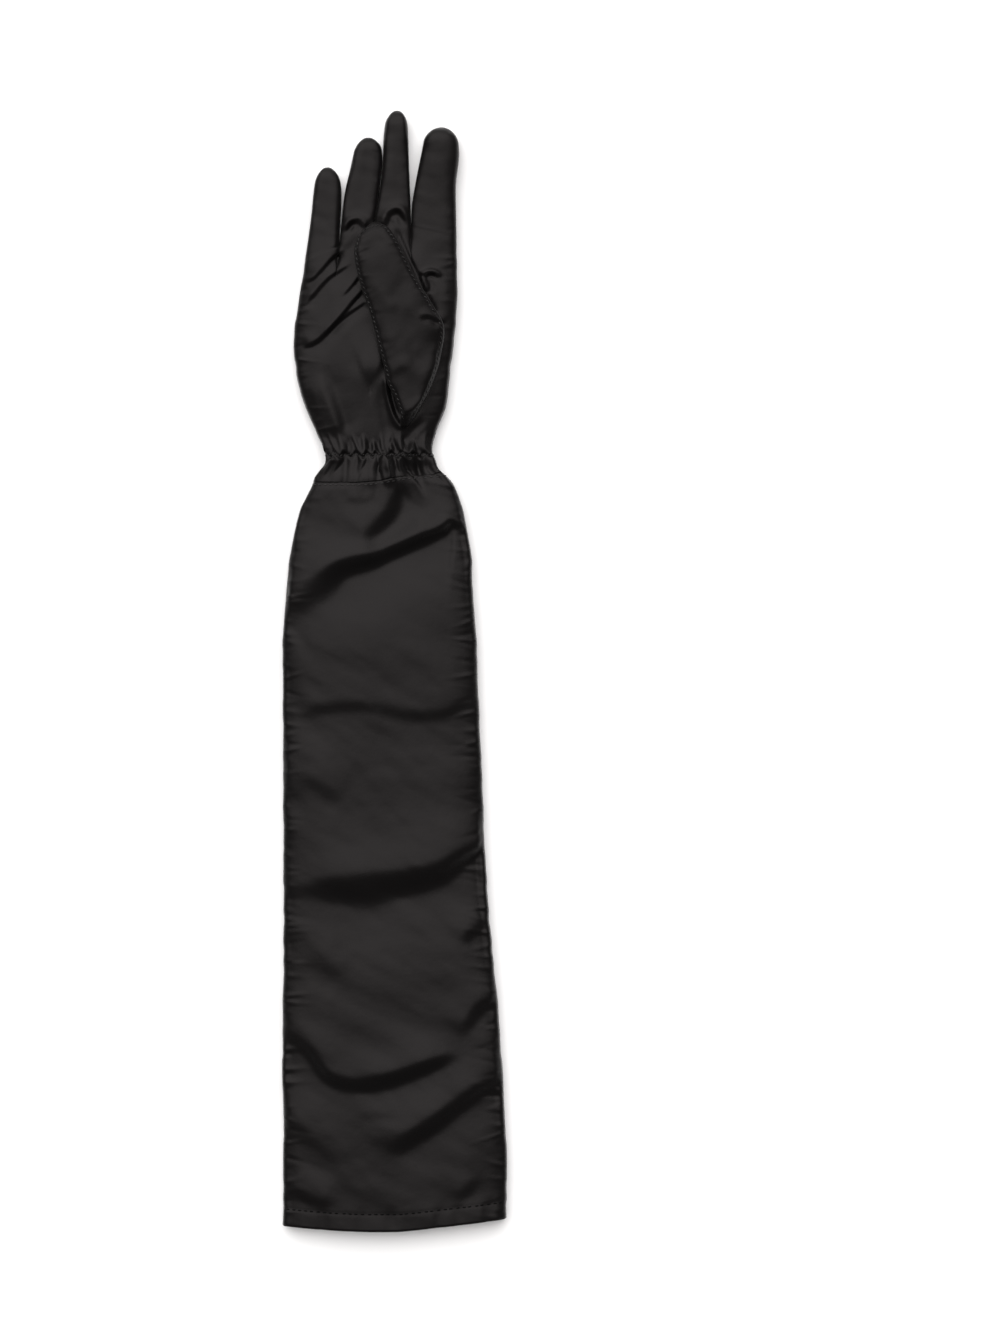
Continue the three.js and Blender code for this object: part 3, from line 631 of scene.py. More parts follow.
# along, left x and y, right x and y, x of the slit's left side: from the tip to the root
THUMB_OUTLINE = Table((
    (0, -0.178, 1.035, -0.078, 1.05, -0.078),
    (0.06, -0.23, 0.99, -0.034, 1.03, -0.034),
    (0.15, -0.249, 0.921, 0.025, 0.971, 0.025),
    (0.3, -0.212, 0.8, 0.112, 0.85, 0.112),
    (0.45, -0.149, 0.675, 0.222, 0.728, 0.222),
    (0.56, -0.106, 0.5625, 0.303, 0.63, 0.29),
    (0.7, -0.062, 0.45, 0.287, 0.508, 0.112),
    (0.83, -0.031, 0.346, 0.23, 0.379, 0.062),
    (0.94, 0.012, 0.258, 0.137, 0.262, 0.06),
    (1, 0.037, 0.208, 0.078, 0.208, 0.062),
))

# across and up: shares of the hand's width and the palm's length, and each point of a drop
# also has the drop's width in millimetres and its size there
PALM_FOLDS = (
    Drop(((-0.567, 0.808, 1.7, 0.8), (-0.486, 0.846, 1.6, 1), (-0.392, 0.917, 1.5, 1),
          (-0.318, 0.95, 1.5, 0.8)), 0.9, 0.8, 4.5, 4.0),
    Drop(((-0.579, 0.708, 1.8, 0.7), (-0.511, 0.7625, 1.8, 1), (-0.405, 0.8375, 1.6, 1),
          (-0.255, 0.9, 1.6, 0.7)), 0.9, 0.8, 5.0, 4.5, (0.15, 0.3)),
    Drop(((-0.592, 0.546, 2.0, 0.7), (-0.486, 0.571, 1.9, 1), (-0.374, 0.646, 1.7, 1),
          (-0.25, 0.745, 1.6, 1), (-0.19, 0.79, 1.6, 1)), 1.1, 1.0, 5.0, 4.5, (0.12, 0.06)),
    Drop(((-0.46, 0.58, 1.6, 0.8), (-0.336, 0.66, 1.5, 1), (-0.18, 0.735, 1.5, 0.9)), 0.8,
         0.7, 2.6, 3.0, (0.25, 0.08)),
    Drop(((-0.34, 0.745, 1.5, 0.8), (-0.27, 0.8, 1.5, 1), (-0.2, 0.86, 1.5, 1)), 0.6, 0.6, 2.6,
         3.0, (0.3, 0.1)),
    Fold(((-0.02, 0.125), (0.0, 0.0), (-0.03, -0.06)), -2.4, 2.4, 2.4, fade=(0.2, 0.01)),
    Drop(((0.09, 0.11, 5, 0.4), (0.081, 0.0627, 7, 0.9), (0.071, 0.0, 8, 1),
          (0.058, -0.0724, 8, 1)), -2.8, -1.6, 13.0, 14.0, (0.35, 0.01)),
    Fold(((-0.3, 0.12), (-0.31, 0.0), (-0.33, -0.06)), -1.2, 2.0, 2.0, fade=(0.2, 0.01)),
    Fold(((0.14, 0.13), (0.16, 0.0), (0.19, -0.06)), -1.5, 2.0, 2.0, fade=(0.2, 0.01)),
    Drop(((-0.43, 0.48, 6, 0.8), (-0.37, 0.3625, 6, 1), (-0.31, 0.2375, 5, 1),
          (-0.29, 0.1625, 4, 0.8)), -1.2, -1.2, 7.0, 9.0, (0.35, 0.2)),
    Drop(((-0.232, 0.44, 10, 0.8), (-0.146, 0.455, 12, 1), (-0.07, 0.44, 10, 0.8)), 1.1, 1.0,
         10.0, 10.0, (0.3, 0.3)),
    Fold(((-0.08, 0.4), (-0.056, 0.242), (-0.044, 0.14)), -0.9, 4.5, 3.5),
    Fold(((0.02, 0.2), (0.06, 0.16), (0.11, 0.19), (0.2, 0.25)), -0.9, 3.0, 2.0),
    Fold(((0.165, 0.835), (0.2, 0.853), (0.245, 0.855), (0.275, 0.832)), 1.9, 1.6, 1.0, 1.3,
         2.2, 1.3, (0.15, 0.15)),
    Fold(((0.168, 0.84), (0.19, 0.8), (0.206, 0.762)), 1.4, 1.0, 1.2, fade=(0.1, 0.3)),
    Fold(((0.215, 0.83), (0.225, 0.795), (0.21, 0.762)), -1.2, 1.2, 1.2, fade=(0.2, 0.2)),
    Fold(((-0.325, 1.02), (-0.28, 1.067), (-0.218, 1.071), (-0.17, 1.03)), 1.6, 2.2, 1.2, 1.2,
         2.4, 1.6, (0.2, 0.2)),
    Fold(((-0.08, 1.03), (-0.044, 1.1), (0.031, 1.117), (0.1, 1.045)), 1.6, 2.4, 1.4, 1.2, 3.0,
         2.2, (0.2, 0.2)),
    Drop(((0.17, 0.655, 1.6, 1), (0.255, 0.665, 1.6, 1), (0.32, 0.642, 1.6, 1)), 0.7, 0.6, 3.0,
         3.0, (0.1, 0.2)),
    Fold(((0.27, 0.95), (0.31, 0.84), (0.33, 0.7)), 0.5, 4.0, 4.0),
)

# across and up, as for the palm: the thumb's own folds, and the palm's along its slit
THUMB_FOLDS = (
    Fold(((-0.215, 0.905), (-0.13, 0.96), (-0.055, 1.0)), -0.9, 4.5, 4.0),
    Fold(((0.13, 0.84), (0.05, 0.78), (-0.03, 0.71)), -0.6, 5.0, 5.0),
    Fold(((-0.16, 0.83), (-0.06, 0.76), (0.0, 0.66)), 0.5, 5.0, 5.0),
    Fold(((0.145, 0.664), (0.22, 0.668), (0.31, 0.64)), 1.1, 2.6, 1.1, 0.9, 2.2, 1.5),
    Fold(((0.29, 0.62), (0.2, 0.52), (0.12, 0.43)), -1.2, 6.0, 5.0),
    Fold(((-0.07, 0.44), (0.03, 0.455), (0.13, 0.49)), 0.6, 4.0, 3.5),
    Fold(((0.03, 0.255), (0.11, 0.28), (0.2, 0.33)), 0.9, 2.4, 1.6, 0.6, 2.5, 1.6),
    Fold(((-0.11, 0.6), (0.02, 0.58), (0.12, 0.54)), 0.5, 7.0, 6.0),
)
SLIT_FOLDS = (
    Fold(((-0.062, 0.43), (-0.046, 0.34), (-0.006, 0.25), (0.036, 0.212), (0.066, 0.235)), 1.3,
         1.3, 1.3, fade=(0.15, 0.1)),
    Fold(((-0.036, 0.4), (-0.016, 0.33), (0.016, 0.262), (0.044, 0.24)), -1.8, 1.5, 1.5),
    Fold(((0.0, 1.04), (0.14, 0.84), (0.268, 0.667)), -1.0, 1.2, 1.2, fade=(0.1, 0.1)),
)

# the same with across and down: shares of the mouth's width and the sleeve's length
SLEEVE_FOLDS = (
    Fold(((0.0, -0.04), (0.0, 0.0), (-0.035, 0.028)), -2.4, 2.4, 2.4, fade=(0.01, 0.5)),
    Fold(((-0.215, -0.04), (-0.222, 0.0), (-0.24, 0.022)), -1.2, 2.0, 2.0, fade=(0.01, 0.5)),
    Fold(((0.1, -0.04), (0.115, 0.0), (0.15, 0.025)), -1.5, 2.0, 2.0, fade=(0.01, 0.5)),
    Drop(((0.43, 0.09, 3, 0.3), (0.357, 0.0765, 3, 0.45), (0.262, 0.0575, 3, 0.75),
          (0.201, 0.0665, 4.3, 1.1), (0.08, 0.0798, 6, 1.35), (-0.103, 0.1011, 7.5, 1.45),
          (-0.259, 0.1117, 10, 1.4), (-0.375, 0.1356, 14, 0.9), (-0.478, 0.1622, 12, 0.6),
          (-0.56, 0.18, 12, 0.4)), 2.4, 2.8, 7.0, 18.0, (0.02, 0.05)),
    Drop(((-0.012, -0.0186, 7, 0.95), (-0.0156, 0.0, 8, 1), (-0.022, 0.016, 8, 1),
          (-0.049, 0.0426, 9, 1), (-0.12, 0.0665, 9, 1), (-0.1875, 0.0878, 8, 0.8)), 1.6, 2.8,
         14.0, 13.0, (0.02, 0.2)),
    Drop(((0.1004, 0.0782, 4, 0.8), (0.125, 0.0559, 4.5, 1), (0.1817, 0.0445, 5, 1),
          (0.2317, 0.0465, 4, 0.8)), 0.5, 0.6, 6.0, 7.0, (0.3, 0.3)),
    Drop(((-0.232, 0.0246, 1.8, 0.8), (-0.192, 0.0273, 2, 1), (-0.1295, 0.0286, 2, 1),
          (-0.0893, 0.0213, 1.6, 0.8)), 0.4, 0.4, 4.0, 5.0, (0.3, 0.3)),
    Drop(((-0.46, 0.3098, 6, 0.8), (-0.281, 0.2979, 6, 1), (-0.103, 0.2979, 6, 1),
          (0.0536, 0.3072, 6, 1), (0.192, 0.3085, 6, 1), (0.272, 0.2979, 6, 1),
          (0.3527, 0.2886, 6, 0.8)), 0.7, 0.7, 18.0, 22.0),
    Drop(((-0.411, 0.3856, 8, 1), (-0.3, 0.407, 8, 1), (-0.201, 0.4215, 8, 1)), 0.5, 0.5,
         14.0, 14.0, (0.3, 0.3)),
    Drop(((-0.56, 0.545, 6, 0.05), (-0.42, 0.538, 9, 0.22), (-0.281, 0.53, 14, 0.8),
          (-0.143, 0.5266, 17, 1.05), (0.0134, 0.5226, 14, 1.05), (0.174, 0.5133, 12, 1),
          (0.272, 0.4987, 9, 0.9), (0.4, 0.4834, 5, 0.6), (0.5, 0.472, 5, 0.4)), 3.0, 3.8,
         18.0, 26.0, (0.05, 0.05)),
    Drop(((0.281, 0.6157, 5, 0.9), (0.339, 0.5984, 5, 1), (0.4107, 0.5878, 5, 0.8)), 0.9, 0.9,
         10.0, 10.0, (0.25, 0.15)),
    Drop(((-0.362, 0.622, 8, 1), (-0.28, 0.642, 8, 1), (-0.2, 0.657, 8, 1)), 0.45, 0.45, 12.0,
         12.0, (0.3, 0.3)),
    Drop(((0.53, 0.675, 6, 0.5), (0.4286, 0.689, 6, 0.8), (0.3705, 0.698, 6, 1),
          (0.3214, 0.7154, 6, 1), (0.2634, 0.746, 6, 0.8)), 1.2, 1.3, 11.0, 13.0, (0.05, 0.35)),
    Drop(((0.33, 0.756, 5, 0.4), (0.281, 0.7606, 5, 0.7), (0.192, 0.7686, 6, 1),
          (0.0536, 0.7832, 7, 1.1), (-0.085, 0.7952, 7, 1.1), (-0.201, 0.7979, 6.5, 1),
          (-0.29, 0.7872, 6, 1), (-0.362, 0.7566, 7, 0.75), (-0.42, 0.742, 7, 0.5),
          (-0.478, 0.734, 7, 0.35), (-0.56, 0.726, 6, 0.2)), 1.9, 2.1, 12.0, 15.0, (0.2, 0.03)),
    Drop(((0.56, 0.787, 6, 0.4), (0.4598, 0.795, 6, 0.6), (0.3705, 0.8045, 7, 0.9),
          (0.25, 0.8285, 8, 1), (0.134, 0.8544, 8, 1.1), (0.0134, 0.8777, 8, 1.1),
          (-0.0938, 0.9016, 7, 0.7)), 2.0, 2.2, 12.0, 15.0, (0.03, 0.3)),
    Drop(((-0.4688, 0.9368, 6, 0.8), (-0.379, 0.9516, 6, 1), (-0.263, 0.965, 6, 0.8)), 0.8,
         0.8, 8.0, 8.0, (0.1, 0.3)),
    Drop(((0.25, 0.955, 6, 0.8), (0.3013, 0.9428, 6, 1), (0.3616, 0.9222, 6, 0.8)), 0.7, 0.7,
         8.0, 8.0, (0.3, 0.3)),
    Drop(((-0.48, 0.85, 8, 0.8), (-0.33, 0.88, 8, 1), (-0.18, 0.915, 8, 0.8)), 0.5, 0.5, 10.0,
         10.0, (0.2, 0.3)),
    Drop(((-0.2, 0.84, 4, 0.8), (-0.08, 0.843, 4, 1), (0.05, 0.84, 4, 0.8)), 0.3, 0.3, 6.0,
         6.0, (0.3, 0.3)),
)

# long soft folds of the sleeve's lower half, seen only near its edges
UNDER_FOLDS = (
    Fold(((-0.5, 0.2), (0.1, 0.24), (0.5, 0.2)), 0.5, 9.0, 7.0),
    Fold(((-0.5, 0.46), (0.0, 0.5), (0.5, 0.45)), 0.5, 8.0, 8.0),
    Fold(((-0.5, 0.74), (0.1, 0.7), (0.5, 0.78)), 0.5, 9.0, 7.0),
)


@dataclass(frozen=True)
class Pattern:
    """The glove's sizes and outlines, which all its pieces share."""

    hand_length: float = 197.0
    sleeve_length: float = 403.0
    palm_length: float = 128.6
    hand_width: float = 86.0
    mouth_width: float = 120.0
    hand_height: float = 13.0
    finger_height: float = 10.4
    sleeve_height: float = 15.0
    seam_height: float = 4.8
    seam_slant: float = 2.7
    mouth_slant: float = 6.4
    elastic_line: float = 12.0
    heel_lift: float = 1.2
    heel_reach: float = 24.0
    hem_depth: float = 9.0
    puff: float = 3.4
    floor_puff: float = 7.0
    side_power: int = 6
    side_seed: int = 31
    front_gathers: int = 11
    back_gathers: int = 17

    @property
    def seam_y(self) -> float:
        """Place of the wrist seam along the glove."""
        return (self.sleeve_length - self.hand_length) / 2

    @property
    def mouth_y(self) -> float:
        """Lowest place of the mouth's edge."""
        return self.seam_y - self.sleeve_length

    def hand_sides(self, up: Array) -> tuple[Array, Array]:
        """Left and right side of the hand at a share of the palm's length."""
        left = self.hand_width * HAND_OUTLINE.read(1, up)
        return left, self.hand_width * HAND_OUTLINE.read(2, up)

    def hand_top(self, up: Array) -> Array:
        """Height of the hand at a share of the palm's length."""
        return self.hand_height * HAND_OUTLINE.read(3, up)

    def seam_rise(self, across: Array) -> Array:
        """How far the wrist seam lies above its mean place."""
        return self.seam_slant * SEAM_LINE.read(1, across)

    def mouth_rise(self, across: Array) -> Array:
        """How far the mouth's edge lies above its lowest place."""
        return self.mouth_slant * np.maximum(0, MOUTH_EDGE.read(1, across))

    def palm_level(self, x: Array, y: Array) -> Array:
        """Height of the smooth palm: the seam's height and a pillow of the hand's above it."""
        up = (y - self.seam_y) / self.palm_length
        left, right = self.hand_sides(up)
        share = np.clip((x - left) / (right - left), 0, 1)
        rise = self.hand_top(up) - self.seam_height
        return self.seam_height + rise * pillow(share, self.puff)

    def side_stray(self, across: Array, y: Array) -> Array:
        """How far the cloth near a side seam strays sideways, the same for both cloths."""
        side = np.sign(across - 0.5) * np.abs(2 * across - 1) ** self.side_power
        fine = drift(y, y * 0, (5.5, 1), self.side_seed)
        return side * (0.35 * fine + 0.3 * drift(y, y * 0, (17, 1), self.side_seed + 1))

    def gathers(self, across: Array, y: Array, front: bool) -> Array:
        """Height of the wrist's gathers, whose puffs differ on the front and on the back."""
        seed = self.front_gathers if front else self.back_gathers
        return Gathers(seed).lift(across, y - self.seam_y - self.elastic_line)

    def heel_rise(self, y: Array) -> Array:
        """How far the narrow wrist lifts the cloth under it off the table."""
        reach = (y - self.seam_y - self.elastic_line) / self.heel_reach
        return self.heel_lift * np.exp(-reach * reach)


@dataclass(frozen=True)
class Finger:
    """One finger: how far its tip reaches, as a share of the hand, and its two sides.

    The cloth climbs towards the tip by the lift, in millimetres.
    """

    name: str
    top: float
    sides: Table
    lift: float = 0.0


FINGERS = (
    Finger("pinky", 0.846, Table((
        (0, -0.564, -0.349), (0.25, -0.542, -0.346), (0.5, -0.523, -0.338),
        (0.75, -0.508, -0.337), (1, -0.486, -0.36)))),
    Finger("ring", 0.927, Table((
        (0, -0.349, -0.125), (0.25, -0.333, -0.109), (0.5, -0.313, -0.094),
        (0.75, -0.274, -0.083), (1, -0.24, -0.099)))),
    Finger("middle", 1.0, Table((
        (0, -0.125, 0.1), (0.25, -0.095, 0.094), (0.5, -0.075, 0.087),
        (0.75, -0.069, 0.082), (1, -0.05, 0.075))), 1.4),
    Finger("index", 0.954, Table((
        (0, 0.1, 0.383), (0.25, 0.108, 0.38), (0.5, 0.134, 0.38),
        (0.75, 0.165, 0.399), (1, 0.193, 0.386))), 3.6),
)


@dataclass
class Hand:
    """The palm, the back of the hand and the strips sewn in between the fingers."""

    pattern: Pattern
    cloth: Cloth
    strips: Cloth
    columns: int = 24
    rows: int = 190
    finger_rows: int = 72
    strip_rows: int = 60
    strip_columns: int = 9
    strip_width: float = 4.6
    strip_end: float = 0.94
    strip_bow: float = 1.1
    tip_round: float = 9.0
    folds: Folds = field(init=False)
    slit: Folds = field(init=False)
    sheets: dict[str, list[Sheet]] = field(default_factory=dict)

    def __post_init__(self) -> None:
        """Places the palm's folds."""
        pattern = self.pattern
        scale, origin = (pattern.hand_width, pattern.palm_length), (0.0, pattern.seam_y)
        self.folds = Folds(PALM_FOLDS, scale, origin)
        self.slit = Folds(SLIT_FOLDS, scale, origin)

    def tip_share(self, index: int, along: Array) -> Array:
        """Width and height that a finger keeps: sqrt(1 - t^2) over its last millimetres."""
        root = min(KNUCKLES[index][1], KNUCKLES[index + 1][1]) * self.pattern.palm_length
        start = 1 - self.tip_round / (FINGERS[index].top * self.pattern.hand_length - root)
        past = np.clip((along - start) / (1 - start), 0, 1)
        return np.sqrt(1 - 0.998 * past * past)

    def edge(self, index: int, right: bool, along: Array) -> tuple[Array, Array]:
        """Place of a finger's side at shares of its length."""
        pattern = self.pattern
        root = pattern.seam_y + KNUCKLES[index + int(right)][1] * pattern.palm_length
        top = pattern.seam_y + FINGERS[index].top * pattern.hand_length
        x = pattern.hand_width * FINGERS[index].sides.read(1 + int(right), along)
        return x, mix(root, top, along)

    def strip(self, along: Array) -> Array:
        """Width of the strip between two fingers, which runs out to a point."""
        left = np.clip((self.strip_end - along) / self.strip_end, 0, 1)
        return self.strip_width * np.sqrt(left)

    def finger_level(
        self, index: int, share: Array, along: Array, height: Array, palm: bool
    ) -> Array:
        """Height of the cloth across one finger.

        Args:
            index: Which finger.
            share: Share across it.
            along: Share of its length.
            height: Height of its middle.
            palm: Whether it is the palm's side.

        Returns:
            The height at each place.
        """
        way = 1 if palm else -1
        inner_left = 0.0 if index == 0 else 1.0
        inner_right = 0.0 if index == len(FINGERS) - 1 else 1.0
        half = self.strip(along) / 2
        edge = self.pattern.seam_height + way * half * mix(inner_left, inner_right, share)
        keep = self.tip_share(index, along)
        puff = pillow(share, self.pattern.puff if palm else self.pattern.floor_puff) * keep
        return edge + (height - edge) * puff if palm else edge * (1 - puff)

    def finger_sheet(self, index: int, palm: bool) -> Sheet:
        """Cloth of one finger, from its root to its rounded tip."""
        pattern = self.pattern
        ends = crowded(self.finger_rows, 0.35)
        along = (1 - (1 - ends) ** 1.25)[:, None]
        share = crowded(self.columns, 1)[None, :]
        left_x, left_y = self.edge(index, False, along)
        right_x, right_y = self.edge(index, True, along)
        keep = self.tip_share(index, along)
        middle, half = (left_x + right_x) / 2, (right_x - left_x) / 2 * keep
        x = middle + (2 * share - 1) * half
        y = mix(left_y, right_y, share)
        start = mix(float(pattern.hand_top(1.0)), pattern.finger_height, 0.5)
        height = mix(start, pattern.finger_height, ease(0, 0.3, along))
        height = height + FINGERS[index].lift * along
        level = self.finger_level(index, share, along, height, palm)
        sheet = Sheet.over(x, y, level, palm)
        return sheet.raised(self.finger_relief(index, x, y, share, along, half, palm))

    def finger_relief(
        self, index: int, x: Array, y: Array, share: Array, along: Array, half: Array, palm: bool
    ) -> Array:
        """Puckers along both seams of a finger, cross wrinkles and soft dents between them."""
        seed = 100 + 10 * index + (0 if palm else 5)
        away_left = share * 2 * half
        away_right = (1 - share) * 2 * half
        seams = Puckers(seed, 4.0, 0.26, 3.0).lift(y, away_left + 0 * y)
        seams = seams + Puckers(seed + 1, 4.0, 0.26, 3.0).lift(y, away_right + 0 * y)
        bend = y + 0.25 * x
        cross = 0.13 * drift(x, bend, (12.0, 5.0), seed + 2)
        soft = 0.45 * drift(x, y, (9.0, 24.0), seed + 3)
        inside = between_ends(share, 0.16, 0.16) * ease(0, 0.05, 1 - along)
        root = ease(0, 0.06, along)
        relief = (seams + (cross + soft) * inside) * root
        if palm:
            relief = relief + self.folds.lift(x, y) * inside
        return relief * (1 if palm else 0.5)

    def hand_sheet(self, palm: bool) -> Sheet:
        """Cloth of the palm or of the back, from the roots of the fingers to the wrist seam."""
        pattern = self.pattern
        places = crowded(self.columns, 1)
        finger = np.repeat(np.arange(len(FINGERS)), self.columns)
        share = np.tile(places[:-1], len(FINGERS))
        finger, share = np.append(finger, len(FINGERS) - 1), np.append(share, 1.0)
        knuckles = np.array(KNUCKLES)
        root_across = mix(knuckles[finger, 0], knuckles[finger + 1, 0], share)
        root_up = mix(knuckles[finger, 1], knuckles[finger + 1, 1], share)
        root_left, root_right = pattern.hand_sides(root_up)
        root_share = (root_across * pattern.hand_width - root_left) / (root_right - root_left)
        rows = self.rows if palm else self.rows // 2
        down = (1 - (1 - np.linspace(0, 1, rows + 1)) ** 1.12)[:, None]
        even = np.linspace(0, 1, len(share))
        across = mix(root_share[None, :], even[None, :], ease(0, 0.7, down))
        root_y = pattern.seam_y + root_up * pattern.palm_length
        y = mix(root_y[None, :], pattern.seam_y + pattern.seam_rise(across), down)
        up = (y - pattern.seam_y) / pattern.palm_length
        left, right = pattern.hand_sides(up)
        x = mix(left, right, across)
        near_fingers = 1 - ease(0, 0.15, down)
        root_height = mix(pattern.hand_top(up), pattern.finger_height, 0.5)
        roots = np.empty_like(x)
        for index in range(len(FINGERS)):
            own = finger == index
            roots[:, own] = self.finger_level(
                index, share[own][None, :], np.zeros_like(x[:, own]), root_height[:, own], palm
            )
        if palm:
            whole = pattern.palm_level(x, y)
        else:
            cup = pattern.seam_height * (1 - pillow(across, pattern.floor_puff))
            whole = np.maximum(cup, pattern.heel_rise(y))
        level = mix(whole, roots, near_fingers)
        x = x + pattern.side_stray(across, y)
        sheet = Sheet.over(x, y, level, palm)
        return sheet.raised(self.hand_relief(x, y, across, down, palm))

    def hand_relief(self, x: Array, y: Array, across: Array, down: Array, palm: bool) -> Array:
        """Everything that lifts the hand's cloth off its smooth shape."""
        pattern = self.pattern
        width = pattern.hand_width * 0.85
        gathers = pattern.gathers(across, y, palm)
        seams = Puckers(41, 4.0, 0.5, 6.5).lift(y, across * width)
        seams = seams + Puckers(43, 4.4, 0.4, 5.0).lift(y, (1 - across) * width)
        soft = 0.55 * drift(x + 0.4 * y, y, (17, 26), 51) + 0.16 * drift(x, y, (6, 9), 52)
        inside = between_ends(across, 0.1, 0.1)
        from_seam = y - pattern.seam_y - pattern.seam_rise(across)
        joint = -0.05 * np.exp(-(from_seam**2))
        roots = ease(0, 0.05, down)
        at_seam = ease(0, 3.0, from_seam)
        fixed = (seams + soft * inside) * roots
        if not palm:
            folds = 0.4 * soft * inside
            return (folds + seams * 0.6 + gathers * 0.5 * inside) * roots * at_seam
        folds = self.folds.lift(x, y) * inside
        clear = 1 - self.under_thumb(x, y)
        gathered = gathers * between_ends(across, 0.03, 0.03)
        slit = self.slit.lift(x, y)
        return (fixed * at_seam + gathered + folds) * clear + joint + slit

    def under_thumb(self, x: Array, y: Array) -> Array:
        """1 where the thumb lies on the palm and 0 around it."""
        pattern = self.pattern
        up = (y - pattern.seam_y) / pattern.palm_length
        along = np.interp(-up, [-1.05, -0.62, -0.2], [0.0, 0.5, 1.0])
        left = pattern.hand_width * THUMB_OUTLINE.read(1, along)
        right = pattern.hand_width * THUMB_OUTLINE.read(3, along)
        inside = ease(-1.0, 3.0, x - left) * ease(-1.0, 3.0, right - x)
        return inside * ease(0.19, 0.24, up) * (1 - ease(1.02, 1.05, up))

    def strip_sheet(self, index: int) -> Sheet:
        """The strip between two fingers: down one side, round the crotch and up the next.

        Across its width it bows inwards as 1 - v^2, with v from -1 at the back to 1 at the
        palm.
        """
        pattern = self.pattern
        along = np.linspace(0.0, self.strip_end - 0.01, self.strip_rows)
        x_parts, y_parts, inward, widths = [], [], [], []
        for finger, right in ((index, True), (index + 1, False)):
            x, y = self.edge(finger, right, along)
            other, _ = self.edge(finger, not right, along)
            keep = self.tip_share(finger, along)
            way = -1.0 if right else 1.0
            x = x + way * np.abs(x - other) / 2 * (1 - keep)
            order = slice(None, None, -1) if right else slice(1, None)
            x_parts.append(x[order])
            y_parts.append(y[order])
            inward.append(np.full(len(x), way)[order])
            widths.append(self.strip(along)[order])
        x, y = np.concatenate(x_parts), np.concatenate(y_parts)
        way, width = np.concatenate(inward), np.concatenate(widths)
        near_root = np.exp(-((np.abs(y - y.min()) / 2.0) ** 2))
        across = np.linspace(-1, 1, self.strip_columns)[:, None]
        bow = self.strip_bow * (1 - across**2) * (width / self.strip_width)
        points = np.stack([
            x + way * bow * (1 - near_root),
            y - bow * near_root,
            pattern.seam_height + across * (width / 2),
        ], 2)
        run = run_of(np.stack([x, y], 1))
        flat = np.stack(np.broadcast_arrays(across * self.strip_width / 2, run), 2)
        return Sheet(points, flat, True)

    def build(self) -> dict[str, bpy.types.Object]:
        """Makes the hand's pieces of cloth.

        Returns:
            The pieces by name.
        """
        pieces = {}
        for palm, name, node in (
            (True, "palm_cloth", "palm_panel"),
            (False, "hand_back_cloth", "hand_back_panel"),
        ):
            sheets = [self.hand_sheet(palm)]
            sheets += [self.finger_sheet(index, palm) for index in range(len(FINGERS))]
            self.weld_roots(sheets)
            self.sheets[name] = sheets
            pieces[name] = self.cloth.make(name, sheets, node)
        for index in range(len(FINGERS) - 1):
            pair = f"{FINGERS[index].name}_{FINGERS[index + 1].name}"
            name = f"strip_{pair}"
            pieces[name] = self.strips.make(name, [self.strip_sheet(index)], f"fourchette_{pair}")
        return pieces

    def weld_roots(self, sheets: list[Sheet]) -> None:
        """Puts the lowest row of each finger on the highest row of the hand's cloth."""
        for index, finger in enumerate(sheets[1:]):
            start = index * self.columns
            finger.points[0] = sheets[0].points[0, start : start + self.columns + 1]
            finger.flat[0] = sheets[0].flat[0, start : start + self.columns + 1]


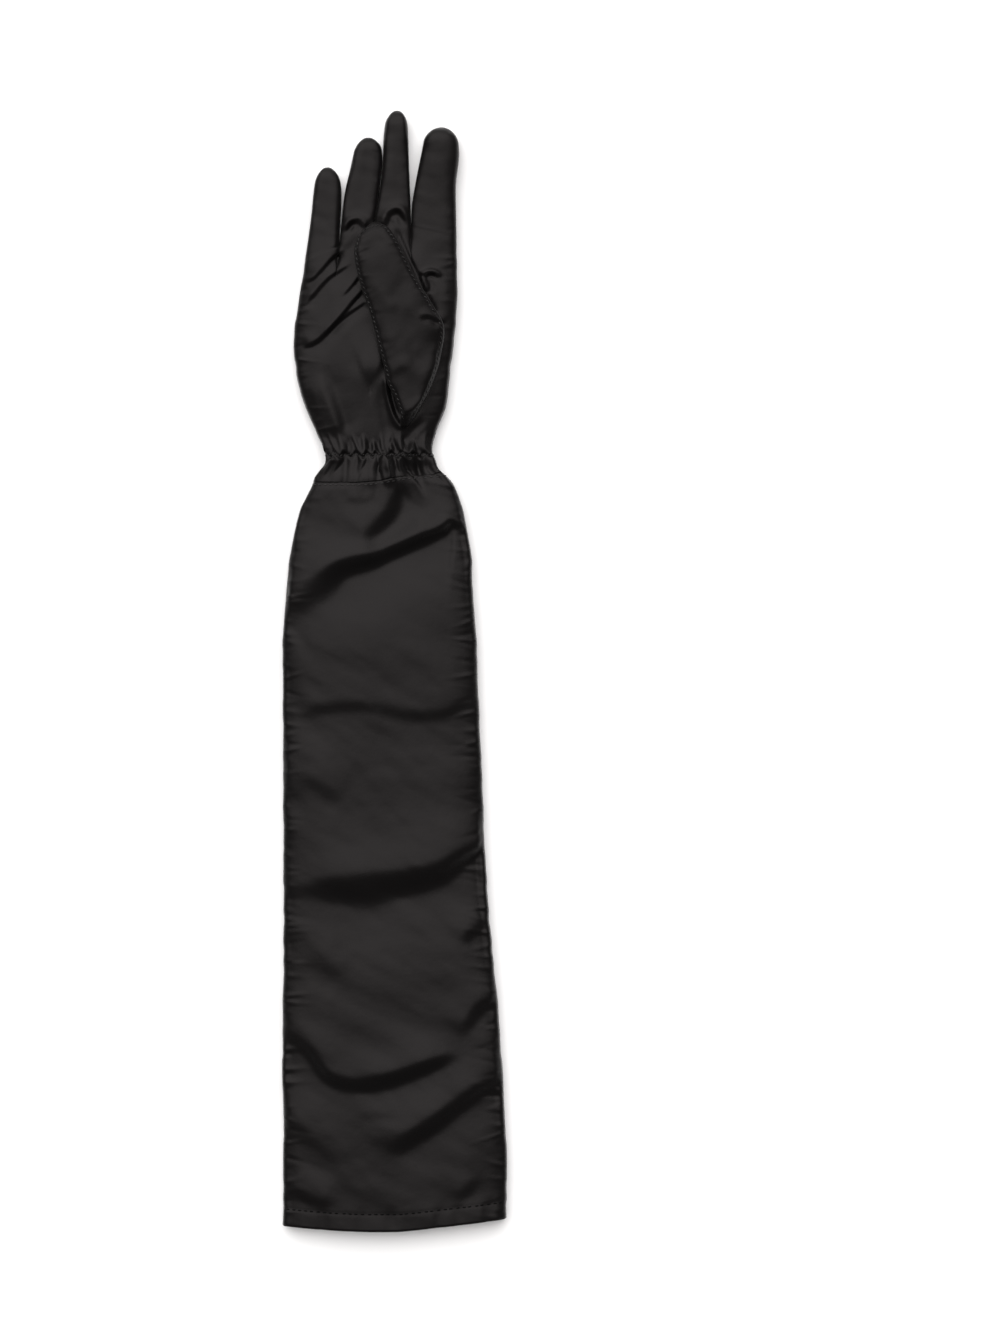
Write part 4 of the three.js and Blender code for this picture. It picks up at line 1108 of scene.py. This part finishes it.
@dataclass
class Thumb:
    """The thumb's upper cloth and the cloth under it, lying on the palm."""

    pattern: Pattern
    cloth: Cloth
    columns: int = 44
    rows: int = 130
    crowding: float = 0.8
    row_power: float = 1.5
    length: float = 112.0
    height: float = 8.6
    tip_lift: float = 2.2
    rest_gap: float = 0.45
    seam_share: float = 0.42
    tip_round: float = 0.16
    sewn_from: float = 0.56
    sewn_fully: float = 0.66
    under_lead: float = 0.07
    under_end: float = 0.92
    root_bulge: float = 2.4
    folds: Folds = field(init=False)
    sheets: dict[str, Sheet] = field(default_factory=dict)

    def __post_init__(self) -> None:
        """Places the thumb's folds."""
        pattern = self.pattern
        self.folds = Folds(
            THUMB_FOLDS, (pattern.hand_width, pattern.palm_length), (0.0, pattern.seam_y)
        )

    def edge(self, right: bool, along: Array) -> tuple[Array, Array]:
        """Place of one side of the thumb at shares of its length from the tip."""
        pattern = self.pattern
        column = 3 if right else 1
        x = pattern.hand_width * THUMB_OUTLINE.read(column, along)
        y = pattern.seam_y + pattern.palm_length * THUMB_OUTLINE.read(column + 1, along)
        if not right:
            x = x + self.root_bulge * ease(0.76, 0.86, along) * (1 - ease(0.93, 1.0, along))
        return x, y

    def row_of(self, along: Array) -> Array:
        """Fractional row of the upper cloth's grid at shares of the thumb's length."""
        return along ** (1 / self.row_power) * self.rows

    def sheet(self, front: bool) -> Sheet:
        """The upper or the lower cloth of the thumb.

        Both start from the palm's level. The upper one rises from its edges by a pillow over
        the thumb's height, and the lower one falls from them to the palm.

        Args:
            front: Whether it is the upper cloth.

        Returns:
            The cloth's grid.
        """
        pattern = self.pattern
        end = 1.0 if front else self.under_end
        along = (end * np.linspace(0, 1, self.rows + 1) ** self.row_power)[:, None]
        share = crowded(self.columns, self.crowding)[None, :]
        left_x, left_y = self.edge(False, along)
        right_x, right_y = self.edge(True, along)
        lead = 0.0 if front else self.under_lead
        sewn = ease(self.sewn_from - lead, self.sewn_fully - lead, along)
        if not front:
            hole = pattern.hand_width * THUMB_OUTLINE.read(5, along)
            right_x = mix(right_x, hole, sewn)
        closing = ease(0.9, 1.0, along)
        side = 2 * share - 1
        cap = 2.0 * (1 - side**2) * np.exp(-along / 0.02)
        x = mix(left_x, right_x, share)
        y = mix(left_y, right_y, share) + cap
        middle, low = self.height * self.seam_share, 0.3 if front else 0.0
        edge = mix(
            mix(middle, low, closing),
            mix(middle, low, sewn if front else np.maximum(sewn, closing)),
            share,
        )
        tip = np.sqrt(1 - (1 - np.minimum(along / self.tip_round, 1)) ** 2)
        puff = pillow(share, pattern.puff if front else pattern.floor_puff)
        if front:
            height = self.height + self.tip_lift * (1 - ease(0, 0.55, along))
            level = edge + (height - edge) * puff * np.minimum(tip, np.sqrt(1 - 0.9 * closing))
        else:
            level = np.maximum(0, edge * (1 - puff * tip))
        base = pattern.palm_level(x, y) + self.rest_gap
        sheet = Sheet.over(x, y, base + level, front)
        width = right_x - left_x
        return sheet.raised(self.relief(x, y, share * width, (1 - share) * width, along, front))

    def relief(
        self, x: Array, y: Array, from_left: Array, from_right: Array, along: Array, front: bool
    ) -> Array:
        """Stitch dimples at the thumb's edges, puckers beside them and its soft folds."""
        run = along * self.length
        seams = Puckers(71, 3.4, 0.4, 4.5).lift(run + 0 * x, from_left)
        seams = seams + Puckers(72, 3.4, 0.4, 4.5).lift(run + 0 * x, from_right)
        ring = np.minimum(np.minimum(from_left, from_right), run + 1.0)
        rim = 0.2 * np.exp(-(((ring - 0.3) / 0.45) ** 2))
        spaced = 1 + 0.5 * np.cos(run * TAU / 2.7)
        dimples = rim - 0.2 * np.exp(-(((ring - 1.4) / 0.6) ** 2)) * spaced
        inside = ease(0, 2.5, from_left) * ease(0, 2.5, from_right) * ease(0, 3.0, run)
        soft = 0.45 * drift(x, y + 0.5 * x, (12, 15), 75) + 0.13 * drift(x, y, (5, 6), 76)
        folds = self.folds.lift(x, y) if front else 0 * x
        ends = between_ends(along, 0.03, 0.05)
        return ((folds + soft) * inside + dimples + seams) * ends * (1 if front else 0.4)

    def build(self) -> dict[str, bpy.types.Object]:
        """Makes the thumb's two pieces of cloth and returns them by name."""
        pieces = {}
        for front, name, node in (
            (True, "thumb_front_cloth", "thumb_front_panel"),
            (False, "thumb_back_cloth", "thumb_back_panel"),
        ):
            self.sheets[name] = self.sheet(front)
            pieces[name] = self.cloth.make(name, [self.sheets[name]], node)
        return pieces


@dataclass
class Sleeve:
    """The upper and the lower half of the sleeve, and the cloth turned up inside the mouth."""

    pattern: Pattern
    cloth: Cloth
    hem: Cloth
    columns: int = 110
    rows: int = 400
    back_columns: int = 64
    back_rows: int = 200
    hem_roll: float = 0.45
    folds: Folds = field(init=False)
    under_folds: Folds = field(init=False)
    sheets: dict[str, Sheet] = field(default_factory=dict)

    def __post_init__(self) -> None:
        """Places the sleeve's folds."""
        pattern = self.pattern
        scale = (pattern.mouth_width, -pattern.sleeve_length)
        self.folds = Folds(SLEEVE_FOLDS, scale, (0.0, pattern.seam_y))
        self.under_folds = Folds(UNDER_FOLDS, scale, (0.0, pattern.seam_y))

    def smooth(self, across: Array, down: Array, front: bool) -> Sheet:
        """Half of the sleeve without its folds.

        Its sides widen from the wrist's to the mouth's as the outline says. Its height is a
        pillow above the seam's, or below it for the half that lies on the table.

        Args:
            across: Shares from the left seam to the right one.
            down: Shares from the wrist to the mouth.
            front: Whether it is the upper half.

        Returns:
            The grid.
        """
        pattern = self.pattern
        rise = pattern.seam_rise(across)
        start_left, start_right = pattern.hand_sides(rise / pattern.palm_length)
        left = mix(start_left, -pattern.mouth_width / 2, SLEEVE_OUTLINE.read(1, down))
        right = mix(start_right, pattern.mouth_width / 2, SLEEVE_OUTLINE.read(2, down))
        y = mix(pattern.seam_y + rise, pattern.mouth_y + pattern.mouth_rise(across), down)
        height = pattern.sleeve_height * SLEEVE_OUTLINE.read(3, down)
        seam = pattern.seam_height
        if front:
            level = seam + (height - seam) * pillow(across, pattern.puff)
        else:
            level = seam * (1 - pillow(across, pattern.floor_puff)) + 0 * down
        x = mix(left, right, across) + pattern.side_stray(across, y)
        return Sheet.over(x, y, level, front)

    def relief(self, sheet: Sheet, across: Array, front: bool) -> Array:
        """Everything that lifts half of the sleeve off its smooth shape."""
        pattern = self.pattern
        x, y = sheet.points[..., 0], sheet.points[..., 1]
        width = x[:, -1:] - x[:, :1]
        from_left, from_right = across * width, (1 - across) * width
        gathers = pattern.gathers(across, y, front) * between_ends(across, 0.03, 0.03)
        seams = Puckers(61, 4.6, 0.7, 7.0).lift(y, from_left)
        seams = seams + Puckers(62, 4.8, 0.85, 8.0).lift(y, from_right)
        inside = between_ends(across, 0.04, 0.04)
        slant = y + 0.45 * x
        soft = 0.75 * drift(x, slant, (38, 27), 65) + 0.3 * drift(x, slant, (17, 11), 66)
        fine = 0.1 * drift(x, slant, (8, 6), 67)
        from_seam = pattern.seam_y + pattern.seam_rise(across) - y
        from_mouth = y - pattern.mouth_y - pattern.mouth_rise(across)
        joint = -0.05 * np.exp(-(from_seam**2))
        hem = -0.15 * np.exp(-(((from_mouth - pattern.hem_depth) / 0.8) ** 2))
        waves = 0.35 * drift(x, y, (5.2, 30), 68) * (1 - ease(6.0, 15.0, from_mouth))
        at_seam = ease(0, 4.0, from_seam)
        if not front:
            under = self.under_folds.lift(x, y) + 0.5 * soft
            return -np.abs(under) * inside + 0.6 * seams + gathers * 0.4
        folds = blurred(self.folds.lift(x, y), 4)
        folds = folds * ease(2.0, 16.0, from_mouth)
        return (
            (folds + (soft + fine) * at_seam) * inside
            + gathers
            + seams * ease(0, 3.0, from_seam) * ease(0, 3.0, from_mouth)
            + joint
            + hem
            + waves * inside
        )

    def half(self, front: bool) -> Sheet:
        """The finished grid of one half of the sleeve."""
        columns, rows = (self.columns, self.rows) if front else (self.back_columns, self.back_rows)
        across = crowded(columns, 0.4)[None, :]
        down = np.linspace(0, 1, rows + 1)[:, None]
        across, down = np.broadcast_arrays(across, down)
        sheet = self.smooth(across, down, front)
        return sheet.raised(self.relief(sheet, across, front))

    def hem_sheet(self, half: Sheet) -> Sheet:
        """The cloth that turns in round the mouth's edge and runs up inside one half.

        The turn is a half circle round a line inside the edge: out by r sin t along the
        sleeve and in by r (1 - cos t). From there it follows the sleeve at a depth of 2 r.

        Args:
            half: The finished half of the sleeve.

        Returns:
            The grid of the turned cloth.
        """
        rows = half.points.shape[0] - 1
        step = self.pattern.sleeve_length / rows
        normals = half.normals()
        edge, normal = half.points[-1], normals[-1]
        out = half.points[-1] - half.points[-3]
        out = out / np.linalg.norm(out, axis=1, keepdims=True)
        parts = []
        for turn in np.linspace(0, math.pi, 9):
            inward = self.hem_roll * (1 - math.cos(turn))
            parts.append(edge + out * self.hem_roll * math.sin(turn) - normal * inward)
        count = max(2, int(self.pattern.hem_depth / step))
        for index in range(1, count + 1):
            parts.append(half.points[rows - index] - normals[rows - index] * 2 * self.hem_roll)
        points = np.stack(parts)
        return Sheet(points, points[..., :2].copy(), not half.faces_up)

    def build(self) -> dict[str, bpy.types.Object]:
        """Makes the sleeve's pieces of cloth and returns them by name."""
        pieces = {}
        for front, name, node in (
            (True, "sleeve_front_cloth", "sleeve_front_panel"),
            (False, "sleeve_back_cloth", "sleeve_back_panel"),
        ):
            self.sheets[name] = self.half(front)
            pieces[name] = self.cloth.make(name, [self.sheets[name]], node)
        turned = [self.hem_sheet(sheet) for sheet in self.sheets.values()]
        pieces["hem_cloth"] = self.hem.make("hem_cloth", turned, "hem_band")
        return pieces


@dataclass
class Stitching:
    """Rows of stitches, each stitch a short rounded bar half sunk into the cloth."""

    pattern: Pattern
    # thread of every row but the hem's, whose light colour is painted highlight on the stitches
    material: bpy.types.Material
    # thread of the hem stitches, whose dark colour is painted shade of the stitch holes
    hem_shade_material: bpy.types.Material
    sides: int = 6
    rings: tuple[tuple[float, float], ...] = (
        (-1.0, 0.35), (-0.75, 0.85), (-0.3, 1.0), (0.3, 1.0), (0.75, 0.85), (1.0, 0.35),
    )

    def row(
        self, name: str, centres: Array, ways: Array, ups: Array, length: float, width: float
    ) -> bpy.types.Object:
        """Makes one row of stitches as one piece.

        A stitch is rings of points round its middle line, which bends down at both ends as
        1 - t^2.

        Args:
            name: Name of the piece.
            centres: Middle of each stitch on the cloth.
            ways: Unit direction of each stitch.
            ups: Unit normal of the cloth under each stitch.
            length: Length of a stitch.
            width: Thickness of the thread.

        Returns:
            The new object.
        """
        sideways = np.cross(ups, ways)
        sideways = sideways / np.linalg.norm(sideways, axis=1, keepdims=True)
        angle = np.arange(self.sides) / self.sides * TAU
        rings = np.array(self.rings)
        place = rings[:, 0][:, None]
        size = rings[:, 1][:, None] * width / 2
        forward = np.broadcast_to(place * length / 2, (len(rings), self.sides))
        aside = size * np.cos(angle)
        above = size * np.sin(angle) + width * (0.45 - 0.75 * place**2)
        points = (
            centres[:, None, None, :]
            + ways[:, None, None, :] * forward[None, ..., None]
            + sideways[:, None, None, :] * aside[None, ..., None]
            + ups[:, None, None, :] * above[None, ..., None]
        )
        points[..., 2] = np.maximum(points[..., 2], TABLE_GAP)
        ring = np.arange(self.sides)
        after = (ring + 1) % self.sides
        tube = [
            np.stack([ring, after, after + self.sides, ring + self.sides], 1) + index * self.sides
            for index in range(len(rings) - 1)
        ]
        last = (len(rings) - 1) * self.sides
        # two quads close each end of a stitch with six sides
        caps = [[0, 3, 2, 1], [0, 5, 4, 3], [last, last + 1, last + 2, last + 3],
                [last, last + 3, last + 4, last + 5]]
        faces = np.vstack(tube + [np.array(caps)])
        every = faces[None] + np.arange(len(centres))[:, None, None] * len(rings) * self.sides
        piece = put_in_scene(name, points.reshape(-1, 3), every.reshape(-1, 4), None)
        piece.data.materials.append(self.hem_shade_material if "hem" in name else self.material)
        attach(piece, "root")
        LOG.info("%s: %d stitches", name, len(centres))
        return piece

    def along(
        self, name: str, sheet: Sheet, rows: Array, columns: Array, pitch: float, length: float,
        width: float, slant: float = 0.0,
    ) -> bpy.types.Object:
        """Makes a row of stitches along a line on a grid.

        Args:
            name: Name of the piece.
            sheet: The grid that they lie on.
            rows: Fractional rows of the line's points.
            columns: Fractional columns of the line's points.
            pitch: Distance from one stitch to the next.
            length: Length of a stitch.
            width: Thickness of the thread.
            slant: Angle of each stitch to the line, in radians.

        Returns:
            The new object.
        """
        line, _ = sheet.at(rows, columns)
        run = run_of(line)
        places = np.arange(pitch / 2, run[-1], pitch)
        places = places + np.random.default_rng(5).uniform(-0.12, 0.12, len(places)) * pitch
        centres, ups = sheet.at(np.interp(places, run, rows), np.interp(places, run, columns))
        ahead, behind = [
            sheet.at(np.interp(near, run, rows), np.interp(near, run, columns))[0]
            for near in (places + 0.4, places - 0.4)
        ]
        ways = ahead - behind
        ways = ways / np.linalg.norm(ways, axis=1, keepdims=True)
        ways = ways * math.cos(slant) + np.cross(ups, ways) * math.sin(slant)
        return self.row(name, centres, ways, ups, length, width)

    def build(self, hand: Hand, thumb: Thumb, sleeve: Sleeve) -> dict[str, bpy.types.Object]:
        """Sews the wrist seam, the hem, the elastic line and the thumb's edges.

        Args:
            hand: The finished hand.
            thumb: The finished thumb.
            sleeve: The finished sleeve.

        Returns:
            The rows of stitches by name.
        """
        pieces = {}
        front, back = sleeve.sheets["sleeve_front_cloth"], sleeve.sheets["sleeve_back_cloth"]
        step = self.pattern.sleeve_length / sleeve.rows
        across = np.linspace(0.012, 0.988, 160)
        columns = across * sleeve.columns
        seam_row = np.full(len(across), 1.5 / step)
        pieces["wrist_seam_stitches"] = self.along(
            "wrist_seam_stitches", front, seam_row, columns, 3.1, 2.0, 0.5
        )
        hem_row = sleeve.rows - self.pattern.hem_depth / step + 0 * columns
        pieces["hem_stitches_front"] = self.along(
            "hem_stitches_front", front, hem_row, columns, 3.4, 2.0, 0.62
        )
        back_row = hem_row * sleeve.back_rows / sleeve.rows
        pieces["hem_stitches_back"] = self.along(
            "hem_stitches_back", back, back_row, across * sleeve.back_columns, 3.4, 2.0, 0.42
        )
        pieces["thumb_stitches"] = self.thumb_edge(thumb)
        pieces["elastic_stitches"] = self.elastic(hand)
        return pieces

    def thumb_edge(self, thumb: Thumb) -> bpy.types.Object:
        """Sews round the thumb, a little inside its edge, from its root over its tip."""
        sheet = thumb.sheets["thumb_front_cloth"]
        along = np.linspace(0.965, 0.02, 150)
        width = thumb.edge(True, along)[0] - thumb.edge(False, along)[0]
        share = 1.15 / width
        places = crowded(thumb.columns, thumb.crowding)
        left = np.interp(share, places, np.arange(thumb.columns + 1))
        right = np.interp(1 - share, places, np.arange(thumb.columns + 1))
        rows = thumb.row_of(along)
        tip_columns = np.linspace(left[-1], right[-1], 40)[1:-1]
        tip_rows = np.full(len(tip_columns), float(rows[-1]))
        rows = np.concatenate([rows, tip_rows, rows[::-1]])
        columns = np.concatenate([left, tip_columns, right[::-1]])
        return self.along("thumb_stitches", sheet, rows, columns, 2.7, 1.9, 0.42, 0.5)

    def elastic(self, hand: Hand) -> bpy.types.Object:
        """Sews the elastic across the palm's side of the wrist."""
        sheet = hand.sheets["palm_cloth"][0]
        y = sheet.points[..., 1]
        level = self.pattern.seam_y + self.pattern.elastic_line
        rows = np.argmin(np.abs(y - level), axis=0).astype(float)
        columns = np.arange(y.shape[1], dtype=float)
        return self.along("elastic_stitches", sheet, rows, columns, 2.0, 1.7, 0.45, 0.7)


class Wire:
    """The output of a shader node, on which plus, minus and times add Math nodes."""

    def __init__(self, tree: "Tree", socket: bpy.types.NodeSocket) -> None:
        """Keeps the socket and the tree that it belongs to."""
        self.tree = tree
        self.socket = socket

    def __add__(self, other: "Wire | float") -> "Wire":
        """This value and the other, added."""
        return self.tree.maths("ADD", self, other)

    __radd__ = __add__

    def __mul__(self, other: "Wire | float") -> "Wire":
        """This value times the other."""
        return self.tree.maths("MULTIPLY", self, other)

    __rmul__ = __mul__

    def __sub__(self, other: "Wire | float") -> "Wire":
        """This value less the other."""
        return self.tree.maths("SUBTRACT", self, other)

    def __rsub__(self, other: float) -> "Wire":
        """The other value less this one."""
        return self.tree.maths("SUBTRACT", other, self)


class Tree:
    """A node tree that is filled in by expressions."""

    def __init__(self, owner: bpy.types.Material | bpy.types.World) -> None:
        """Empties the node tree of a material or world."""
        owner.use_nodes = True
        self.tree = owner.node_tree
        self.tree.nodes.clear()

    def node(
        self, kind: str, settings: dict[str, object] | None = None,
        inputs: dict[str | int, object] | None = None,
    ) -> bpy.types.Node:
        """Adds a node.

        Args:
            kind: Type of the node.
            settings: Its own properties, set first.
            inputs: Values or wires of its sockets, by name or number.

        Returns:
            The node.
        """
        node = self.tree.nodes.new(kind)
        for key, value in (settings or {}).items():
            setattr(node, key, value)
        for key, value in (inputs or {}).items():
            if isinstance(value, Wire):
                self.tree.links.new(value.socket, node.inputs[key])
            else:
                node.inputs[key].default_value = value
        return node

    def wire(self, node: bpy.types.Node, output: str | int = 0) -> Wire:
        """One output of a node as a wire."""
        return Wire(self, node.outputs[output])

    def maths(self, operation: str, first: Wire | float, second: Wire | float = 0.0) -> Wire:
        """A Math node on one or two values."""
        return self.wire(
            self.node("ShaderNodeMath", {"operation": operation}, {0: first, 1: second})
        )

    def colour(self, share: Wire, first: tuple[float, ...], second: tuple[float, ...]) -> Wire:
        """A mix of two colours."""
        mixed = self.node(
            "ShaderNodeMix", {"data_type": "RGBA"}, {0: share, 6: (*first, 1), 7: (*second, 1)}
        )
        return self.wire(mixed, 2)

    def noise(self, place: Wire, scale: float, detail: float, roughness: float = 0.5) -> Wire:
        """A noise texture from 0 to 1."""
        return self.wire(self.node(
            "ShaderNodeTexNoise", None,
            {"Vector": place, "Scale": scale, "Detail": detail, "Roughness": roughness},
        ))

    def stretched(self, place: Wire, scale: tuple[float, float, float]) -> Wire:
        """A place with each of its numbers scaled."""
        return self.wire(self.node("ShaderNodeMapping", None, {0: place, 3: scale}))


@dataclass(frozen=True)
class Satin:
    """Silk satin: smooth long threads, a soft gloss and a fine crumple."""

    name: str
    dark: tuple[float, float, float] = (0.0022, 0.0020, 0.0020)
    light: tuple[float, float, float] = (0.0040, 0.0036, 0.0036)
    roughness: float = 0.36
    specular: float = 0.12
    sheen: float = 0.022
    crumple: float = 0.00022
    thread_pitch: float = 0.34

    def build(self) -> bpy.types.Material:
        """Makes the material.

        The colour drifts between the dark and the light one with a broad noise and with thin
        streaks along the weft. The bump adds a crumple of a few millimetres, slubs and the
        weave, whose threads are sine waves of the cloth's own millimetres.

        Returns:
            The material.
        """
        material = bpy.data.materials.new(self.name)
        tree = Tree(material)
        flat = tree.wire(tree.node("ShaderNodeUVMap", {"uv_map": "cloth"}))
        place = tree.wire(tree.node("ShaderNodeTexCoord"), "Object")
        broad = tree.noise(place, 26.0, 3.0)
        streaks = tree.noise(tree.stretched(flat, (0.09, 1.5, 1.0)), 1.0, 3.0, 0.6)
        crumple = tree.noise(place, 210.0, 4.0, 0.55)
        parts = tree.node("ShaderNodeSeparateXYZ", None, {0: flat})
        turn = TAU / self.thread_pitch
        warp = tree.maths("SINE", tree.wire(parts, 0) * turn)
        weft = tree.maths("SINE", tree.wire(parts, 1) * (turn * 0.62))
        weave = warp * 0.5 + weft * 0.25 + streaks * 0.8
        shade = broad * 0.6 + streaks * 0.5 - 0.05
        creased = tree.node(
            "ShaderNodeBump", None, {"Strength": 0.55, "Distance": self.crumple, "Height": crumple}
        )
        woven = tree.node(
            "ShaderNodeBump", None,
            {"Strength": 0.3, "Distance": 0.00003, "Height": weave,
             "Normal": tree.wire(creased)},
        )
        surface = tree.node("ShaderNodeBsdfPrincipled", None, {
            "Base Color": tree.colour(shade, self.dark, self.light),
            "Roughness": streaks * 0.1 + broad * 0.08 + (self.roughness - 0.09),
            "Specular IOR Level": self.specular,
            "Specular Tint": (1.0, 0.94, 0.94, 1.0),
            "Sheen Weight": self.sheen,
            "Sheen Roughness": 0.45,
            "Sheen Tint": (0.9, 0.84, 0.84, 1.0),
            "Normal": tree.wire(woven),
        })
        tree.node("ShaderNodeOutputMaterial", None, {"Surface": tree.wire(surface)})
        return material


@dataclass(frozen=True)
class Thread:
    """Sewing thread with a slight gloss and an uneven shade."""

    name: str
    # default colours, several times lighter than the black cloth: painted highlight on the
    # stitches, besides the real gloss of the specular setting
    dark: tuple[float, float, float] = (0.008, 0.0074, 0.0074)
    light: tuple[float, float, float] = (0.02, 0.0185, 0.0185)
    specular: float = 0.3

    def build(self) -> bpy.types.Material:
        """Makes the material, shaded by a noise and bumped by the thread's twist."""
        material = bpy.data.materials.new(self.name)
        tree = Tree(material)
        place = tree.wire(tree.node("ShaderNodeTexCoord"), "Object")
        noise = tree.noise(place, 900.0, 2.0)
        parts = tree.node("ShaderNodeSeparateXYZ", None, {0: place})
        lean = tree.wire(parts, 0) + tree.wire(parts, 1)
        twist = tree.maths("SINE", lean * (TAU / 0.00045))
        bump = tree.node(
            "ShaderNodeBump", None, {"Strength": 0.4, "Distance": 0.00005, "Height": twist}
        )
        surface = tree.node("ShaderNodeBsdfPrincipled", None, {
            "Base Color": tree.colour(noise, self.dark, self.light),
            "Roughness": noise * 0.2 + 0.32,
            "Specular IOR Level": self.specular,
            "Normal": tree.wire(bump),
        })
        tree.node("ShaderNodeOutputMaterial", None, {"Surface": tree.wire(surface)})
        return material


@dataclass(frozen=True)
class Studio:
    """A pale floor, soft light from above the fingertips, and a camera straight above."""

    centre: tuple[float, float] = (0.0565, 0.0016)
    view_height: float = 0.7146
    distance: float = 2.0
    sharp_height: float = 0.008
    sensor: float = 36.0
    floor_size: float = 6.0
    floor_gap: float = 0.05
    key: tuple[float, float, float] = (-0.12, 0.58, 0.8)
    key_strength: float = 3.5
    fill_strength: float = 0.22
    floor_shade: tuple[float, float, float] = (0.9, 0.9, 0.9)

    def floor(self) -> None:
        """Lays the floor just under the glove."""
        half = self.floor_size / MM / 2
        corners = np.array([[-half, -half], [half, -half], [half, half], [-half, half]])
        points = np.column_stack([corners, np.full(4, -self.floor_gap)])
        floor = put_in_scene("floor", points, np.array([[0, 1, 2, 3]]), None)
        material = bpy.data.materials.new("pale_floor")
        tree = Tree(material)
        surface = tree.node("ShaderNodeBsdfPrincipled", None, {
            "Base Color": (*self.floor_shade, 1), "Roughness": 0.9, "Specular IOR Level": 0.1,
        })
        tree.node("ShaderNodeOutputMaterial", None, {"Surface": tree.wire(surface)})
        floor.data.materials.append(material)

    def light(self) -> None:
        """Lights the scene by a sky that is brightest round the key direction.

        With c the cosine between a direction and the key, the sky's strength goes from the
        fill's to the key's by a smooth step over c.
        """
        world = bpy.data.worlds.new("studio")
        bpy.context.scene.world = world
        tree = Tree(world)
        place = tree.wire(tree.node("ShaderNodeTexCoord"), "Generated")
        towards = tuple(Vector(self.key).normalized())
        cosine = tree.wire(
            tree.node("ShaderNodeVectorMath", {"operation": "DOT_PRODUCT"}, {0: place, 1: towards}),
            "Value",
        )
        share = tree.wire(tree.node(
            "ShaderNodeMapRange", {"interpolation_type": "SMOOTHSTEP"},
            {"Value": cosine, "From Min": 0.5, "From Max": 0.95, "To Min": self.fill_strength,
             "To Max": self.key_strength},
        ))
        sky = tree.node("ShaderNodeBackground", None, {0: (1.0, 0.985, 0.98, 1), 1: share})
        tree.node("ShaderNodeOutputWorld", None, {"Surface": tree.wire(sky)})
        bpy.context.scene.view_settings.view_transform = "Standard"

    def camera(self) -> None:
        """Hangs the camera over the photograph's middle, looking straight down."""
        data = bpy.data.cameras.new("camera")
        data.sensor_width = self.sensor
        data.sensor_fit = "AUTO"
        data.lens = self.sensor * (self.distance - self.sharp_height) / self.view_height
        data.clip_end = 50
        camera = bpy.data.objects.new("camera", data)
        camera.location = (*self.centre, self.distance)
        bpy.context.scene.collection.objects.link(camera)
        bpy.context.scene.camera = camera

    def build(self) -> None:
        """Sets up the floor, the light and the camera."""
        self.floor()
        self.light()
        self.camera()


@dataclass(frozen=True)
class Cut:
    """The flat size that a piece of cloth was cut to, in metres, and how it is held."""

    flat: tuple[float, float]
    area: float
    held: Held
    rests_on: tuple[str, ...]
    stitches: tuple[str, ...] = ()


def main() -> None:
    """Builds the glove's sub-assemblies in order, and then the studio."""
    logging.basicConfig(level=logging.INFO, format="%(name)s: %(message)s")
    pattern = Pattern()
    satin = Satin("black_satin").build()
    thumb_satin = Satin("thumb_satin", specular=0.1).build()
    strip_satin = Satin("strip_satin", roughness=0.44).build()
    hem_satin = Satin("hem_satin", roughness=0.43).build()
    # thread of the thumb, wrist seam and elastic stitches: its light colour is painted highlight
    thread = Thread("shiny_highlight_thread").build()
    # hem thread far darker than the black cloth: painted shade standing in for the stitch holes,
    # with a matt finish
    dark_shade_thread = Thread("dark_shade_thread", (0.0008,) * 3, (0.0016,) * 3, 0.04).build()

    hand = Hand(pattern, Cloth(satin), Cloth(strip_satin, Slot.STRIPS, 0.35))
    thumb = Thumb(pattern, Cloth(thumb_satin))
    sleeve = Sleeve(pattern, Cloth(satin), Cloth(hem_satin, Slot.HEM, 0.3))
    pieces = {**hand.build(), **thumb.build(), **sleeve.build()}
    pieces.update(Stitching(pattern, thread, dark_shade_thread).build(hand, thumb, sleeve))
    Studio().build()


if __name__ == "__main__":
    main()
